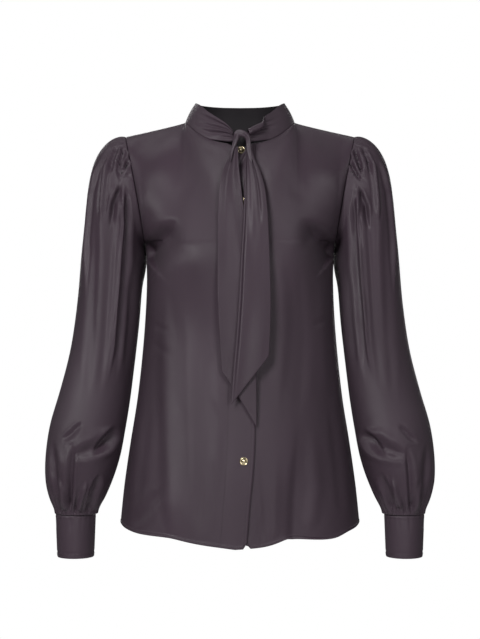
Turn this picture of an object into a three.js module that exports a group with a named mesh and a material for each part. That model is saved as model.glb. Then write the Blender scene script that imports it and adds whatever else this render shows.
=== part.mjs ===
// Tie-neck satin blouse, filled out as if worn, with nobody in it.
// Millimetres, +Z up, the front faces -Y. The origin is the middle of the neck opening, level
// with the highest points of the shoulders, where the wearer's neck and shoulders hold it up.
// "Right" and "left" are the wearer's: the wearer's left is at +X.
import * as THREE from 'three';

// Driving dimensions
const WALL = 1.8; // cloth wall
const SEAM = 0.3; // clear gap between sewn pieces
const ROUNDNESS = 2.2; // power of the torso's rounded sections, 2 is an ellipse
const NECK = { halfWidth: 82, frontDrop: 39, backDrop: 9, frontDepth: 82, backDepth: 62 };
const NECK_DIP = { depth: 19, halfWidth: 9 }; // small drop of the neckline at centre front
const SHOULDER = { x: 171, y: 4, z: -21 }; // outer end of the shoulder seam
const UNDERARM_Z = -181;
const ARMHOLE_HALF_DEPTH = 52;
const ARMHOLE_POWER = 1.3; // how late the armhole leans out towards the shoulder
const ARMHOLE_EASE = 2.4; // how softly the panels turn out to the armhole above the underarm
const BUST = { x: 80, z: -203, rise: 9, spreadX: 42, spreadZ: 50 };
const LAP = 0.055; // half width of the front lap, as a share of the way to the side seam
const LAP_FADE = 0.3; // where the tucked-under front is back on the common form
const HIGH_POINT = 0.36; // column of the high shoulder point, on the same scale
const LAP_STEP = WALL + 0.7; // how far the under front lies behind the over front

// Torso sections from hem to underarm
const TORSO = [
  { at: 'hem', frontZ: -624, sideZ: -597, backZ: -634, halfWidth: 179, front: 130, back: 128, shift: -4 },
  { at: 'low hip', frontZ: -560, sideZ: -540, backZ: -565, halfWidth: 173, front: 128, back: 121, shift: 2 },
  { at: 'hip', frontZ: -490, sideZ: -478, backZ: -492, halfWidth: 164, front: 125, back: 112, shift: 6 },
  { at: 'high hip', frontZ: -420, sideZ: -412, backZ: -420, halfWidth: 153.5, front: 122, back: 100, shift: 6 },
  { at: 'low waist', frontZ: -350, sideZ: -345, backZ: -350, halfWidth: 146, front: 120, back: 91, shift: 5 },
  { at: 'waist', frontZ: -290, sideZ: -287, backZ: -290, halfWidth: 141.5, front: 119, back: 88, shift: 5 },
  { at: 'under bust', frontZ: -240, sideZ: -238, backZ: -240, halfWidth: 139.5, front: 124, back: 94, shift: 4 },
  { at: 'bust', frontZ: -205, sideZ: -204, backZ: -205, halfWidth: 140.5, front: 128, back: 100.5, shift: 3 },
  { at: 'underarm', frontZ: -182, sideZ: UNDERARM_Z, backZ: -182, halfWidth: 142.5, front: 128, back: 102.5, shift: 2 },
];

// Soft folds of the fronts and back, as lines seen from the front or the back
const FRONT_FOLDS = [
  { name: 'bust to armhole, left', x1: 132, z1: -140, x2: 118, z2: -176, width: 9, depth: 2.5 },
  { name: 'bust to armhole, right', x1: -132, z1: -140, x2: -118, z2: -176, width: 9, depth: 2.5 },
  { name: 'hem wave, left', x1: 72, z1: -612, x2: 84, z2: -450, width: 13, depth: 7 },
  { name: 'under the bust, right', x1: -88, z1: -300, x2: -84, z2: -610, width: 20, depth: -5 },
  { name: 'side fall, right', x1: -128, z1: -320, x2: -140, z2: -600, width: 16, depth: 5 },
  { name: 'side fall, left', x1: 128, z1: -320, x2: 141, z2: -600, width: 16, depth: 5 },
];
const BACK_FOLDS = [
  { name: 'blade to hem, left', x1: 62, z1: -230, x2: 78, z2: -625, width: 22, depth: 6 },
  { name: 'blade to hem, right', x1: -66, z1: -240, x2: -74, z2: -625, width: 22, depth: 6 },
  { name: 'centre fall', x1: 3, z1: -300, x2: -4, z2: -625, width: 26, depth: -5 },
  { name: 'side fall, left', x1: 130, z1: -300, x2: 142, z2: -600, width: 16, depth: 5 },
  { name: 'side fall, right', x1: -130, z1: -300, x2: -142, z2: -600, width: 16, depth: 5 },
];

// Left sleeve, ring by ring from the armhole seam: the point next to the body, the point furthest
// from it, the half depth front to back, and the height of the gathers at the head and the wrist
const SLEEVE = [
  { bodyX: 145.6, bodyZ: -182.6, farX: 180, farZ: -18.5, halfDepth: 54, centreY: 4, head: 1.6, wrist: 0 },
  { bodyX: 146.6, bodyZ: -186.5, farX: 198, farZ: -27.5, halfDepth: 56.5, centreY: 4, head: 3.4, wrist: 0 },
  { bodyX: 146.4, bodyZ: -192, farX: 214, farZ: -48, halfDepth: 59, centreY: 4, head: 4.2, wrist: 0 },
  { bodyX: 146.6, bodyZ: -200, farX: 224, farZ: -77, halfDepth: 60, centreY: 4, head: 3.6, wrist: 0 },
  { bodyX: 146.4, bodyZ: -212, farX: 229.5, farZ: -112, halfDepth: 60, centreY: 3, head: 2.6, wrist: 0 },
  { bodyX: 146.4, bodyZ: -228, farX: 233.5, farZ: -155, halfDepth: 60, centreY: 2, head: 1.6, wrist: 0 },
  { bodyX: 147.6, bodyZ: -252, farX: 238, farZ: -202, halfDepth: 59, centreY: 1, head: 0.8, wrist: 0 },
  { bodyX: 151, bodyZ: -300, farX: 243.5, farZ: -268, halfDepth: 58, centreY: 0, head: 0, wrist: 0 },
  { bodyX: 157.5, bodyZ: -358, farX: 253.5, farZ: -338, halfDepth: 58, centreY: -1, head: 0, wrist: 0 },
  { bodyX: 164.5, bodyZ: -415, farX: 269, farZ: -400, halfDepth: 60, centreY: -3, head: 0, wrist: 0 },
  { bodyX: 172, bodyZ: -462, farX: 284, farZ: -452, halfDepth: 63, centreY: -6, head: 0, wrist: 0.6 },
  { bodyX: 179.5, bodyZ: -501, farX: 290.5, farZ: -500, halfDepth: 63, centreY: -9, head: 0, wrist: 1.6 },
  { bodyX: 190, bodyZ: -534, farX: 290, farZ: -538, halfDepth: 57, centreY: -11, head: 0, wrist: 2.8 },
  { bodyX: 202, bodyZ: -562, farX: 283.5, farZ: -564, halfDepth: 47, centreY: -13, head: 0, wrist: 3.2 },
  { bodyX: 211.5, bodyZ: -578, farX: 276.5, farZ: -578, halfDepth: 37, centreY: -14, head: 0, wrist: 2.2 },
];
const SLEEVE_SEGMENTS = 48;
const SLEEVE_GATHERS = 12; // folds all round
const CUFF = {
  topZ: -584, bottomZ: -648, centreX: 245, centreY: -14, topHalfWidth: 30, bottomHalfWidth: 27.5,
  halfDepth: 35, lapTurn: 24, segments: 24, rows: 2,
};

// Upper edge of the collar strip by "turn", the angle round the neck from the front
const COLLAR = [
  { turn: 0, topX: 11, topY: -92, topZ: -20 },
  { turn: 10, topX: 17.5, topY: -87.5, topZ: -12.5 },
  { turn: 19, topX: 24, topY: -81, topZ: -6.5 },
  { turn: 30, topX: 36, topY: -68, topZ: 2.5 },
  { turn: 45, topX: 47, topY: -53, topZ: 11 },
  { turn: 62, topX: 58, topY: -34, topZ: 22 },
  { turn: 85, topX: 66, topY: -6, topZ: 28.5 },
  { turn: 105, topX: 65, topY: 16, topZ: 29 },
  { turn: 130, topX: 51, topY: 38, topZ: 29 },
  { turn: 155, topX: 28, topY: 52, topZ: 28.7 },
  { turn: 180, topX: 0, topY: 57, topZ: 28.5 },
];
// Lower edge of the strip where it has left the neckline on its way into the knot
const COLLAR_ARM = [
  { turn: 0, x: 10.5, y: -94, z: -36.5 },
  { turn: 8, x: 15.5, y: -89.5, z: -37 },
];
const COLLAR_ROWS = 3;
const COLLAR_BULGE = 1.5; // how far the strip's middle rolls out
const STAND = { reach: 20, lap: 9, lowZ: -63, topZ: -27, lowDepth: 85.8, topDepth: 73.4, rows: 2, columns: 8 };

// Tie: the arch of the knot, and the two long ends by height
const KNOT_PATH = [
  { x: -8, y: -98.4, z: -46 },
  { x: -7.8, y: -98.2, z: -38 },
  { x: -5.5, y: -99, z: -29.5 },
  { x: 2.5, y: -100, z: -24.5 },
  { x: 10, y: -99, z: -29.5 },
  { x: 12.5, y: -98.2, z: -38 },
  { x: 13, y: -99, z: -46 },
];
const KNOT_SECTION = { halfWidth: 4, halfDepth: 3.6, sides: 5, steps: 12 };
const TIE_THICKNESS = 1.8;
const UNDER_TAIL = {
  cutLeftZ: -369, cutRightZ: -450, columns: 6, rows: 13, folds: 1.5,
  sections: [
    { z: -46.8, left: -12, right: -4, y: -98.5, fold: 0.6 },
    { z: -62, left: -17.5, right: -3.5, y: -104, fold: 2.4 },
    { z: -82, left: -25.5, right: -1, y: -112, fold: 3 },
    { z: -105, left: -29.5, right: 3, y: -123.5, fold: 3 },
    { z: -145, left: -31.5, right: 10, y: -134, fold: 2 },
    { z: -205, left: -31.8, right: 18, y: -139, fold: 1.2 },
    { z: -270, left: -31.5, right: 22.5, y: -139, fold: 0.8 },
    { z: -450, left: -22, right: 24, y: -134, fold: 0.4 },
  ],
};
const OVER_TAIL = {
  cutLeftZ: -417, cutRightZ: -347, columns: 6, rows: 13, folds: 2,
  sections: [
    { z: -46.8, left: 9, right: 17, y: -99.5, fold: 0.6 },
    { z: -62, left: 8.3, right: 21, y: -106.5, fold: 2.6 },
    { z: -82, left: 6.7, right: 29.5, y: -115, fold: 3.2 },
    { z: -105, left: 5.8, right: 36, y: -127, fold: 3 },
    { z: -145, left: 5, right: 40, y: -139, fold: 1.6 },
    { z: -205, left: 1.5, right: 42.5, y: -144, fold: 1 },
    { z: -288, left: -3, right: 44, y: -144, fold: 0.8 },
    { z: -417, left: -12.5, right: 38, y: -141, fold: 0.6 },
  ],
};

// Buttons
const FRONT_BUTTON = { radius: 6, rim: 1.2, height: 3.6, sides: 12 };
const CUFF_BUTTON = { radius: 4.5, rim: 0.9, height: 2.8, sides: 10 };
const BUTTON_HEIGHTS = [-48, -124, -217.5, -311, -404.5, -498]; // the first is on the neck stand
const BUTTON_SEAT = 0.5; // clear gap under a button's middle
const CUFF_BUTTON_HEIGHTS = [-600, -632];

// Materials
const satin = (roughness) => new THREE.MeshStandardMaterial({ color: '#473d45', roughness, metalness: 0 });
const gold = () => new THREE.MeshStandardMaterial({ color: '#c2a56a', roughness: 0.28, metalness: 1 });

// Small tools of arithmetic
const lerp = THREE.MathUtils.lerp;
const smooth = (value, low, high) => THREE.MathUtils.smoothstep(value, low, high);
const arc = (value, power) => Math.sign(value) * Math.abs(value) ** (2 / power);

function catmull(before, from, to, after, t) {
  const rise = (to - before) / 2;
  const fall = (after - from) / 2;
  const cubic = 2 * (from - to) + rise + fall;
  const square = 3 * (to - from) - 2 * rise - fall;
  return ((cubic * t + square) * t + rise) * t + from;
}

// A named column of a table, at a place between two of its rows
function between(table, column, place) {
  const last = table.length - 1;
  const row = Math.min(Math.floor(place), last - 1);
  const value = (index) => table[THREE.MathUtils.clamp(index, 0, last)][column];
  return catmull(value(row - 1), value(row), value(row + 1), value(row + 2), place - row);
}

// Where a key lies in a table whose key column runs steadily up or down
function placeOf(table, key, wanted) {
  const falling = table[0][key] > table[table.length - 1][key];
  for (let row = 0; row < table.length - 2; row += 1) {
    const next = table[row + 1][key];
    if (falling ? wanted >= next : wanted <= next) {
      return row + (wanted - table[row][key]) / (next - table[row][key]);
    }
  }
  const row = table.length - 2;
  return row + (wanted - table[row][key]) / (table[row + 1][key] - table[row][key]);
}

// Depth of all folds at a point of a panel seen square on
function foldDepth(folds, x, z) {
  let depth = 0;
  for (const fold of folds) {
    const along = new THREE.Vector2(fold.x2 - fold.x1, fold.z2 - fold.z1);
    const length = along.length();
    const offset = new THREE.Vector2(x - fold.x1, z - fold.z1);
    const place = offset.dot(along) / (length * length);
    const aside = Math.abs(offset.cross(along)) / length;
    const fade = smooth(place, -0.15, 0.25) * (1 - smooth(place, 0.85, 1.15));
    depth += fold.depth * fade * Math.exp(-((aside / fold.width) ** 2));
  }
  return depth;
}

// Torso form. Column 0 is the centre line and 1 the side seam and armhole, negative on the right
const TORSO_TOP = TORSO.length - 1;
const FRONT = { sign: -1, z: 'frontZ', depth: 'front', drop: NECK.frontDrop, neckDepth: NECK.frontDepth,
  neckSlope: 60, hemCurve: 1, folds: FRONT_FOLDS };
const BACK = { sign: 1, z: 'backZ', depth: 'back', drop: NECK.backDrop, neckDepth: NECK.backDepth,
  neckSlope: 42, hemCurve: 1.7, folds: BACK_FOLDS };
const SHOULDER_SLOPE = 22; // degrees, of the cloth where it comes over the shoulder seam

function sectionPoint(form, column, place) {
  const angle = Math.abs(column) * Math.PI / 2;
  const halfWidth = between(TORSO, 'halfWidth', place);
  const depth = between(TORSO, form.depth, place) + form.sign * -SHOULDER.y;
  const x = Math.sign(column) * halfWidth * arc(Math.sin(angle), ROUNDNESS);
  const y = SHOULDER.y + form.sign * depth * arc(Math.max(Math.cos(angle), 0), ROUNDNESS);
  const rise = Math.abs(column) ** form.hemCurve;
  const z = lerp(between(TORSO, form.z, place), between(TORSO, 'sideZ', place), rise);
  return new THREE.Vector3(x, y, z);
}

function necklineZ(form, x) {
  const share = Math.min(Math.abs(x) / NECK.halfWidth, 1);
  return -form.drop * (1 - share ** 2.5) ** 0.9;
}

function topPoint(form, column) {
  const reach = Math.abs(column);
  if (reach <= HIGH_POINT) {
    const angle = (reach / HIGH_POINT) * Math.PI / 2;
    const x = Math.sign(column) * NECK.halfWidth * arc(Math.sin(angle), ROUNDNESS);
    const y = form.sign * form.neckDepth * arc(Math.max(Math.cos(angle), 0), ROUNDNESS);
    return new THREE.Vector3(x, y, necklineZ(form, x));
  }
  const share = (reach - HIGH_POINT) / (1 - HIGH_POINT);
  const x = Math.sign(column) * lerp(NECK.halfWidth, SHOULDER.x, share);
  return new THREE.Vector3(x, SHOULDER.y * share, SHOULDER.z * share ** 0.9);
}

function armholePoint(form, side, height) {
  const underarm = TORSO[TORSO_TOP].halfWidth;
  const x = lerp(underarm, SHOULDER.x, height ** ARMHOLE_POWER);
  const swing = 2 * Math.sqrt(Math.max(height * (1 - height), 0));
  const y = SHOULDER.y + form.sign * ARMHOLE_HALF_DEPTH * swing;
  return new THREE.Vector3(side * x, y, lerp(UNDERARM_Z, SHOULDER.z, height));
}

// Chest or upper back: from the underarm section over to the neckline and shoulder seam
function chestPoint(form, column, height) {
  const low = sectionPoint(form, column, TORSO_TOP);
  const top = topPoint(form, column);
  const reach = low.distanceTo(top);
  const calm = smooth(Math.abs(column), 0, HIGH_POINT);
  const slope = THREE.MathUtils.degToRad(lerp(form.neckSlope, SHOULDER_SLOPE, calm));
  const lead = low.clone();
  lead.z += 0.35 * (top.z - low.z);
  const end = top.clone();
  end.y += form.sign * Math.cos(slope) * reach * 0.28;
  end.z -= Math.sin(slope) * reach * 0.28;
  return new THREE.CubicBezierCurve3(low, lead, end, top).getPoint(height);
}

function formPoint(form, column, level) {
  let point;
  if (level <= TORSO_TOP) {
    point = sectionPoint(form, column, level);
  } else {
    const height = level - TORSO_TOP;
    const side = Math.sign(column) || 1;
    point = chestPoint(form, column, height);
    const pull = smooth(Math.abs(column), 0.3, 1);
    const late = height ** (1 + ARMHOLE_EASE * (1 - Math.abs(column)));
    const error = armholePoint(form, side, late).sub(chestPoint(form, side, late));
    point.addScaledVector(error, pull);
  }
  const edge = 1 - smooth(Math.abs(column), 0.88, 1);
  const top = 1 - smooth(level, TORSO_TOP + 0.3, TORSO_TOP + 0.9);
  const inward = foldDepth(form.folds, point.x, point.z) * edge * top;
  point.y -= form.sign * inward;
  if (form === FRONT) {
    const aside = (Math.abs(point.x) - BUST.x) / BUST.spreadX;
    const up = (point.z - BUST.z) / BUST.spreadZ;
    point.y -= BUST.rise * Math.exp(-(aside ** 2) - up ** 2) * edge * top;
    const shift = between(TORSO, 'shift', Math.min(level, TORSO_TOP));
    point.x += shift * (1 - Math.abs(column)) ** 2 * top;
    const near = Math.exp(-((point.x / NECK_DIP.halfWidth) ** 2));
    const dip = NECK_DIP.depth * near * smooth(level, TORSO_TOP + 0.45, TORSO_TOP + 1);
    point.z -= dip;
    point.y -= dip / Math.tan(THREE.MathUtils.degToRad(form.neckSlope));
  }
  return point;
}

// Grids of points: a list of rows, each a list of points
function makeGrid(rows, columns, pointAt) {
  return rows.map((row) => columns.map((column) => pointAt(column, row)));
}

function spread(count, from, to) {
  return Array.from({ length: count + 1 }, (_, index) => lerp(from, to, index / count));
}

// Unit normals of a grid, from its neighbours; "round" joins the last column to the first
function gridNormals(grid, round) {
  const rows = grid.length;
  const columns = grid[0].length;
  const pick = (row, column) => {
    const wrapped = round ? (column + columns) % columns : THREE.MathUtils.clamp(column, 0, columns - 1);
    return grid[THREE.MathUtils.clamp(row, 0, rows - 1)][wrapped];
  };
  return grid.map((line, row) => line.map((_, column) => {
    const across = pick(row, column + 1).clone().sub(pick(row, column - 1));
    const up = pick(row + 1, column).clone().sub(pick(row - 1, column));
    return across.cross(up).normalize();
  }));
}

// Inner face of a wall; "flatten" may turn the way in at a seam
function innerGrid(outer, depth, round, flatten) {
  const normals = gridNormals(outer, round);
  return outer.map((line, row) => line.map((point, column) => {
    const inward = normals[row][column].clone().negate();
    if (flatten) {
      flatten(inward, row, column);
    }
    return point.clone().addScaledVector(inward.normalize(), depth);
  }));
}

// Closed body between an outer and an inner grid
function wallGeometry(outer, inner, round) {
  const rows = outer.length;
  const columns = outer[0].length;
  const points = [...outer.flat(), ...inner.flat()];
  const half = rows * columns;
  const triangles = [];
  const quad = (a, b, c, d) => triangles.push(a, b, c, a, c, d);
  const at = (row, column) => row * columns + (column % columns);
  const spans = round ? columns : columns - 1;
  for (let row = 0; row < rows - 1; row += 1) {
    for (let column = 0; column < spans; column += 1) {
      const [a, b] = [at(row, column), at(row, column + 1)];
      const [d, c] = [at(row + 1, column), at(row + 1, column + 1)];
      quad(a, b, c, d);
      quad(half + a, half + d, half + c, half + b);
    }
  }
  for (let column = 0; column < spans; column += 1) {
    const [a, b] = [at(0, column), at(0, column + 1)];
    const [d, c] = [at(rows - 1, column), at(rows - 1, column + 1)];
    quad(b, a, half + a, half + b);
    quad(d, c, half + c, half + d);
  }
  for (let row = 0; row < rows - 1 && !round; row += 1) {
    const [a, d] = [at(row, 0), at(row + 1, 0)];
    const [b, c] = [at(row, columns - 1), at(row + 1, columns - 1)];
    quad(a, d, half + d, half + a);
    quad(c, b, half + b, half + c);
  }
  const geometry = new THREE.BufferGeometry();
  geometry.setAttribute('position', new THREE.Float32BufferAttribute(points.flatMap((p) => p.toArray()), 3));
  geometry.setIndex(triangles);
  geometry.computeVertexNormals();
  return geometry;
}

const mirrored = (grid) => grid.map((line) => line.map((p) => new THREE.Vector3(-p.x, p.y, p.z)).reverse());

const group = new THREE.Group();

function addMesh(name, geometry, material, place) {
  const mesh = new THREE.Mesh(geometry, material);
  mesh.name = name;
  if (place) {
    mesh.position.copy(place);
  }
  group.add(mesh);
  return mesh;
}

// Body panels
const BODY_ROWS = 11;
const CHEST_ROWS = 8;
const BODY_LEVELS = spread(BODY_ROWS, 0, TORSO_TOP);
const CHEST_LEVELS = spread(CHEST_ROWS, 0, Math.PI).map((turn) => TORSO_TOP + (1 - Math.cos(turn)) / 2);
const PANEL_LEVELS = [...BODY_LEVELS, ...CHEST_LEVELS.slice(1)];
const ARMHOLE_COLUMNS = [HIGH_POINT, 0.46, 0.56, 0.66, 0.76, 0.85, 0.93, 1];
const NECK_COLUMNS = [LAP, 0.12, 0.2, 0.28];
const FRONT_COLUMNS = [-LAP, 0, ...NECK_COLUMNS, ...ARMHOLE_COLUMNS];
const BACK_HALF = [...NECK_COLUMNS, ...ARMHOLE_COLUMNS];
const BACK_COLUMNS = [...BACK_HALF.map((column) => -column).reverse(), 0, ...BACK_HALF];

// Side and shoulder seams are cut square to the seam, so that the two panels' edges stay apart
function squareSeams(columns) {
  return (inward, row, column) => {
    const reach = Math.abs(columns[column]);
    const sideSeam = reach === 1 && row <= BODY_ROWS;
    const shoulderSeam = row === PANEL_LEVELS.length - 1 && reach >= HIGH_POINT;
    if (sideSeam || shoulderSeam) {
      inward.y = 0;
    }
  };
}

function openSeams(form, columns) {
  return (column, level) => {
    const point = formPoint(form, column, level);
    const onSide = Math.abs(column) === 1 && level <= TORSO_TOP;
    const onShoulder = level === PANEL_LEVELS.at(-1) && Math.abs(column) >= HIGH_POINT;
    if (onSide || onShoulder) {
      point.y += form.sign * SEAM / 2;
    }
    return point;
  };
}

function frontPanel(tuckedUnder) {
  const pointAt = openSeams(FRONT, FRONT_COLUMNS);
  const outer = makeGrid(PANEL_LEVELS, FRONT_COLUMNS, (column, level) => {
    const point = pointAt(column, level);
    if (tuckedUnder) {
      point.y += LAP_STEP * (1 - smooth(column, LAP, LAP_FADE));
    }
    return point;
  });
  return { outer, inner: innerGrid(outer, WALL, false, squareSeams(FRONT_COLUMNS)) };
}

function rightFrontPanel() {
  const columns = FRONT_COLUMNS.map((column) => -column).reverse();
  const outer = makeGrid(PANEL_LEVELS, columns, openSeams(FRONT, columns));
  return { outer, inner: innerGrid(outer, WALL, false, squareSeams(columns)) };
}

function backPanel() {
  const columns = [...BACK_COLUMNS].reverse();
  const outer = makeGrid(PANEL_LEVELS, columns, openSeams(BACK, columns));
  return { outer, inner: innerGrid(outer, WALL, false, squareSeams(columns)) };
}

const frontLeft = frontPanel(true);
const frontRight = rightFrontPanel();
const back = backPanel();
addMesh('front_right', wallGeometry(frontRight.outer, frontRight.inner, false), satin(0.42));
addMesh('front_left', wallGeometry(frontLeft.outer, frontLeft.inner, false), satin(0.42));
addMesh('back', wallGeometry(back.outer, back.inner, false), satin(0.42));

// Edge of a panel moved off it by the seam gap, square to its cut edge. "edge" lists the outer and
// inner points along the edge, "away" the direction off the panel at each
function outsetEdge(edge, gap) {
  return edge.map((entry, index) => {
    const before = edge[Math.max(index - 1, 0)].outer;
    const after = edge[Math.min(index + 1, edge.length - 1)].outer;
    const along = after.clone().sub(before);
    const through = entry.inner.clone().sub(entry.outer);
    const square = along.cross(through).normalize();
    if (square.dot(entry.away) < 0) {
      square.negate();
    }
    const move = square.multiplyScalar(gap);
    return { outer: entry.outer.clone().add(move), inner: entry.inner.clone().add(move) };
  });
}

function edgeEntry(panel, row, column, neighbourRow, neighbourColumn) {
  const outer = panel.outer[row][column];
  const away = outer.clone().sub(panel.outer[neighbourRow][neighbourColumn]);
  return { outer, inner: panel.inner[row][column], away };
}

// Armhole seam of the left side, from the shoulder down the front and up the back
function armholeLoop() {
  const lastFront = FRONT_COLUMNS.length - 1;
  const rows = spread(CHEST_ROWS, PANEL_LEVELS.length - 1, BODY_ROWS).map(Math.round);
  const frontEdge = rows.map((row) => edgeEntry(frontLeft, row, lastFront, row, lastFront - 1));
  const backEdge = rows.map((row) => edgeEntry(back, row, 0, row, 1)).reverse();
  const gap = SEAM + 0.15;
  const down = outsetEdge(frontEdge, gap);
  const up = outsetEdge(backEdge, gap);
  const middle = (first, second) => ({
    outer: first.outer.clone().lerp(second.outer, 0.5),
    inner: first.inner.clone().lerp(second.inner, 0.5),
  });
  return [middle(down[0], up.at(-1)), ...down.slice(1, -1), middle(down.at(-1), up[0]), ...up.slice(1, -1)];
}

// Sleeves
function sleeveRing(ring, segment) {
  const angle = (segment / SLEEVE_SEGMENTS) * Math.PI * 2;
  const near = new THREE.Vector3(ring.bodyX, ring.centreY, ring.bodyZ);
  const far = new THREE.Vector3(ring.farX, ring.centreY, ring.farZ);
  const centre = near.clone().lerp(far, 0.5);
  const out = far.clone().sub(centre);
  const headMask = smooth(Math.cos(angle), -0.1, 0.35);
  const wave = Math.cos(SLEEVE_GATHERS * angle);
  const gather = wave * (ring.head * headMask + ring.wrist * (1 - 0.5 * smooth(-Math.cos(angle), 0.7, 1)));
  const radial = out.clone().normalize().multiplyScalar(Math.cos(angle));
  radial.y -= Math.sin(angle);
  return centre.clone()
    .addScaledVector(out, Math.cos(angle))
    .add(new THREE.Vector3(0, -ring.halfDepth * Math.sin(angle), 0))
    .addScaledVector(radial.normalize(), gather);
}

function sleeveGrids() {
  const loop = armholeLoop();
  const perSpan = SLEEVE_SEGMENTS / loop.length;
  const along = (face) => Array.from({ length: SLEEVE_SEGMENTS }, (_, segment) => {
    const span = Math.floor(segment / perSpan);
    const next = loop[(span + 1) % loop.length];
    return loop[span][face].clone().lerp(next[face], segment / perSpan - span);
  });
  const rings = SLEEVE.map((ring) => (
    Array.from({ length: SLEEVE_SEGMENTS }, (_, segment) => sleeveRing(ring, segment))
  ));
  const last = rings.at(-1).map((point) => point.clone().setZ(CUFF.topZ + SEAM));
  const outer = [along('outer'), ...rings, last];
  const inner = innerGrid(outer, WALL, true, (inward, row) => {
    if (row === outer.length - 1) {
      inward.z = 0;
    }
  });
  inner[0] = along('inner');
  return { outer, inner };
}

const sleeve = sleeveGrids();
addMesh('sleeve_left', wallGeometry(sleeve.outer, sleeve.inner, true), satin(0.38));
addMesh('sleeve_right', wallGeometry(mirrored(sleeve.outer), mirrored(sleeve.inner), true), satin(0.38));

// Collar strip, from the knot round the left side, the back and the right side to the knot
function neckEdge() {
  const top = PANEL_LEVELS.length - 1;
  const frontNeck = NECK_COLUMNS.concat(HIGH_POINT).map((column) => FRONT_COLUMNS.indexOf(column));
  const middle = BACK_COLUMNS.length - 1 - BACK_COLUMNS.indexOf(0);
  const left = frontNeck.map((column) => edgeEntry(frontLeft, top, column, top - 1, column));
  const highPoint = middle - NECK_COLUMNS.length - 1;
  const behind = spread(2 * (middle - highPoint), highPoint, 2 * middle - highPoint).map(Math.round);
  const rear = behind.map((column) => edgeEntry(back, top, column, top - 1, column));
  const flip = (v) => new THREE.Vector3(-v.x, v.y, v.z);
  const right = left.map((e) => ({ outer: flip(e.outer), inner: flip(e.inner), away: flip(e.away) }));
  return [...outsetEdge(left, SEAM).slice(0, -1), ...outsetEdge(rear, SEAM),
    ...outsetEdge(right.reverse(), SEAM).slice(1)];
}

function collarTop(turn, side) {
  const place = placeOf(COLLAR, 'turn', turn);
  return new THREE.Vector3(side * between(COLLAR, 'topX', place),
    between(COLLAR, 'topY', place), between(COLLAR, 'topZ', place));
}

function collarGrids() {
  const arm = (side) => COLLAR_ARM.map(({ turn, x, y, z }) => (
    { turn, side, low: new THREE.Vector3(side * x, y, z), inner: null }
  ));
  const seated = neckEdge().map(({ outer, inner }) => ({
    turn: THREE.MathUtils.radToDeg(Math.atan2(Math.abs(outer.x), -outer.y)),
    side: Math.sign(outer.x) || 1,
    low: outer,
    inner,
  }));
  const stations = [...arm(1), ...seated, ...arm(-1).reverse()];
  const outer = spread(COLLAR_ROWS, 0, 1).map((share) => stations.map(({ turn, side, low }) => {
    const point = low.clone().lerp(collarTop(turn, side), share);
    const out = new THREE.Vector3(low.x, low.y, 0).normalize();
    return point.addScaledVector(out, COLLAR_BULGE * Math.sin(Math.PI * share));
  }));
  const inner = innerGrid(outer, WALL, false);
  stations.forEach((station, column) => {
    if (station.inner) {
      inner[0][column] = station.inner;
    }
  });
  return { outer, inner };
}

const collar = collarGrids();
addMesh('collar', wallGeometry(collar.outer, collar.inner, false), satin(0.42));

// Two short stands that carry the top button behind the knot; the right one laps over the left
function standGrids(fromX, toX, inset) {
  const columns = spread(STAND.columns, fromX, toX);
  const outer = spread(STAND.rows, 0, 1).map((share) => columns.map((x) => {
    const round = (1 - (Math.abs(x) / NECK.halfWidth) ** ROUNDNESS) ** (1 / ROUNDNESS);
    const depth = lerp(STAND.lowDepth, STAND.topDepth, share) - inset;
    return new THREE.Vector3(x, -depth * round, lerp(STAND.lowZ, STAND.topZ, share));
  }));
  return { outer, inner: innerGrid(outer, WALL, false) };
}

const standRight = standGrids(-STAND.reach, STAND.lap, 0);
const standLeft = standGrids(-STAND.lap, STAND.reach, WALL + SEAM);
addMesh('collar_stand_right', wallGeometry(standRight.outer, standRight.inner, false), satin(0.5));
addMesh('collar_stand_left', wallGeometry(standLeft.outer, standLeft.inner, false), satin(0.5));

// Cuffs, each a band whose end laps over its start at the back of the wrist
const CUFF_START = 262; // degrees round the wrist, where 90 is the front and 270 the back
const CUFF_RISE = 30; // degrees in which the end climbs over the start

function cuffPoint(turn, share, lift) {
  const angle = THREE.MathUtils.degToRad(turn);
  const halfWidth = lerp(CUFF.topHalfWidth, CUFF.bottomHalfWidth, share);
  const climb = lift + (WALL + SEAM) * smooth(turn, CUFF_START + 360 - CUFF_RISE, CUFF_START + 358);
  return new THREE.Vector3(CUFF.centreX + (halfWidth + climb) * Math.cos(angle),
    CUFF.centreY - (CUFF.halfDepth + climb) * Math.sin(angle), lerp(CUFF.topZ, CUFF.bottomZ, share));
}

function cuffGrids() {
  const turns = spread(CUFF.segments, CUFF_START, CUFF_START + 360 + CUFF.lapTurn);
  const outer = spread(CUFF.rows, 0, 1).map((share) => turns.map((turn) => cuffPoint(turn, share, 0)));
  return { outer, inner: innerGrid(outer, WALL, false, (inward) => { inward.z = 0; }) };
}

const cuff = cuffGrids();
addMesh('cuff_left', wallGeometry(cuff.outer, cuff.inner, false), satin(0.42));
addMesh('cuff_right', wallGeometry(mirrored(cuff.outer), mirrored(cuff.inner), false), satin(0.42));

// Knot: an arch whose two feet run into the tie's ends
function knotGeometry() {
  const section = new THREE.Shape();
  section.absellipse(0, 0, KNOT_SECTION.halfWidth, KNOT_SECTION.halfDepth, 0, Math.PI * 2);
  const path = new THREE.CatmullRomCurve3(KNOT_PATH.map(({ x, y, z }) => new THREE.Vector3(x, y, z)));
  return new THREE.ExtrudeGeometry(section, {
    steps: KNOT_SECTION.steps, curveSegments: KNOT_SECTION.sides, extrudePath: path,
  });
}

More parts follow.
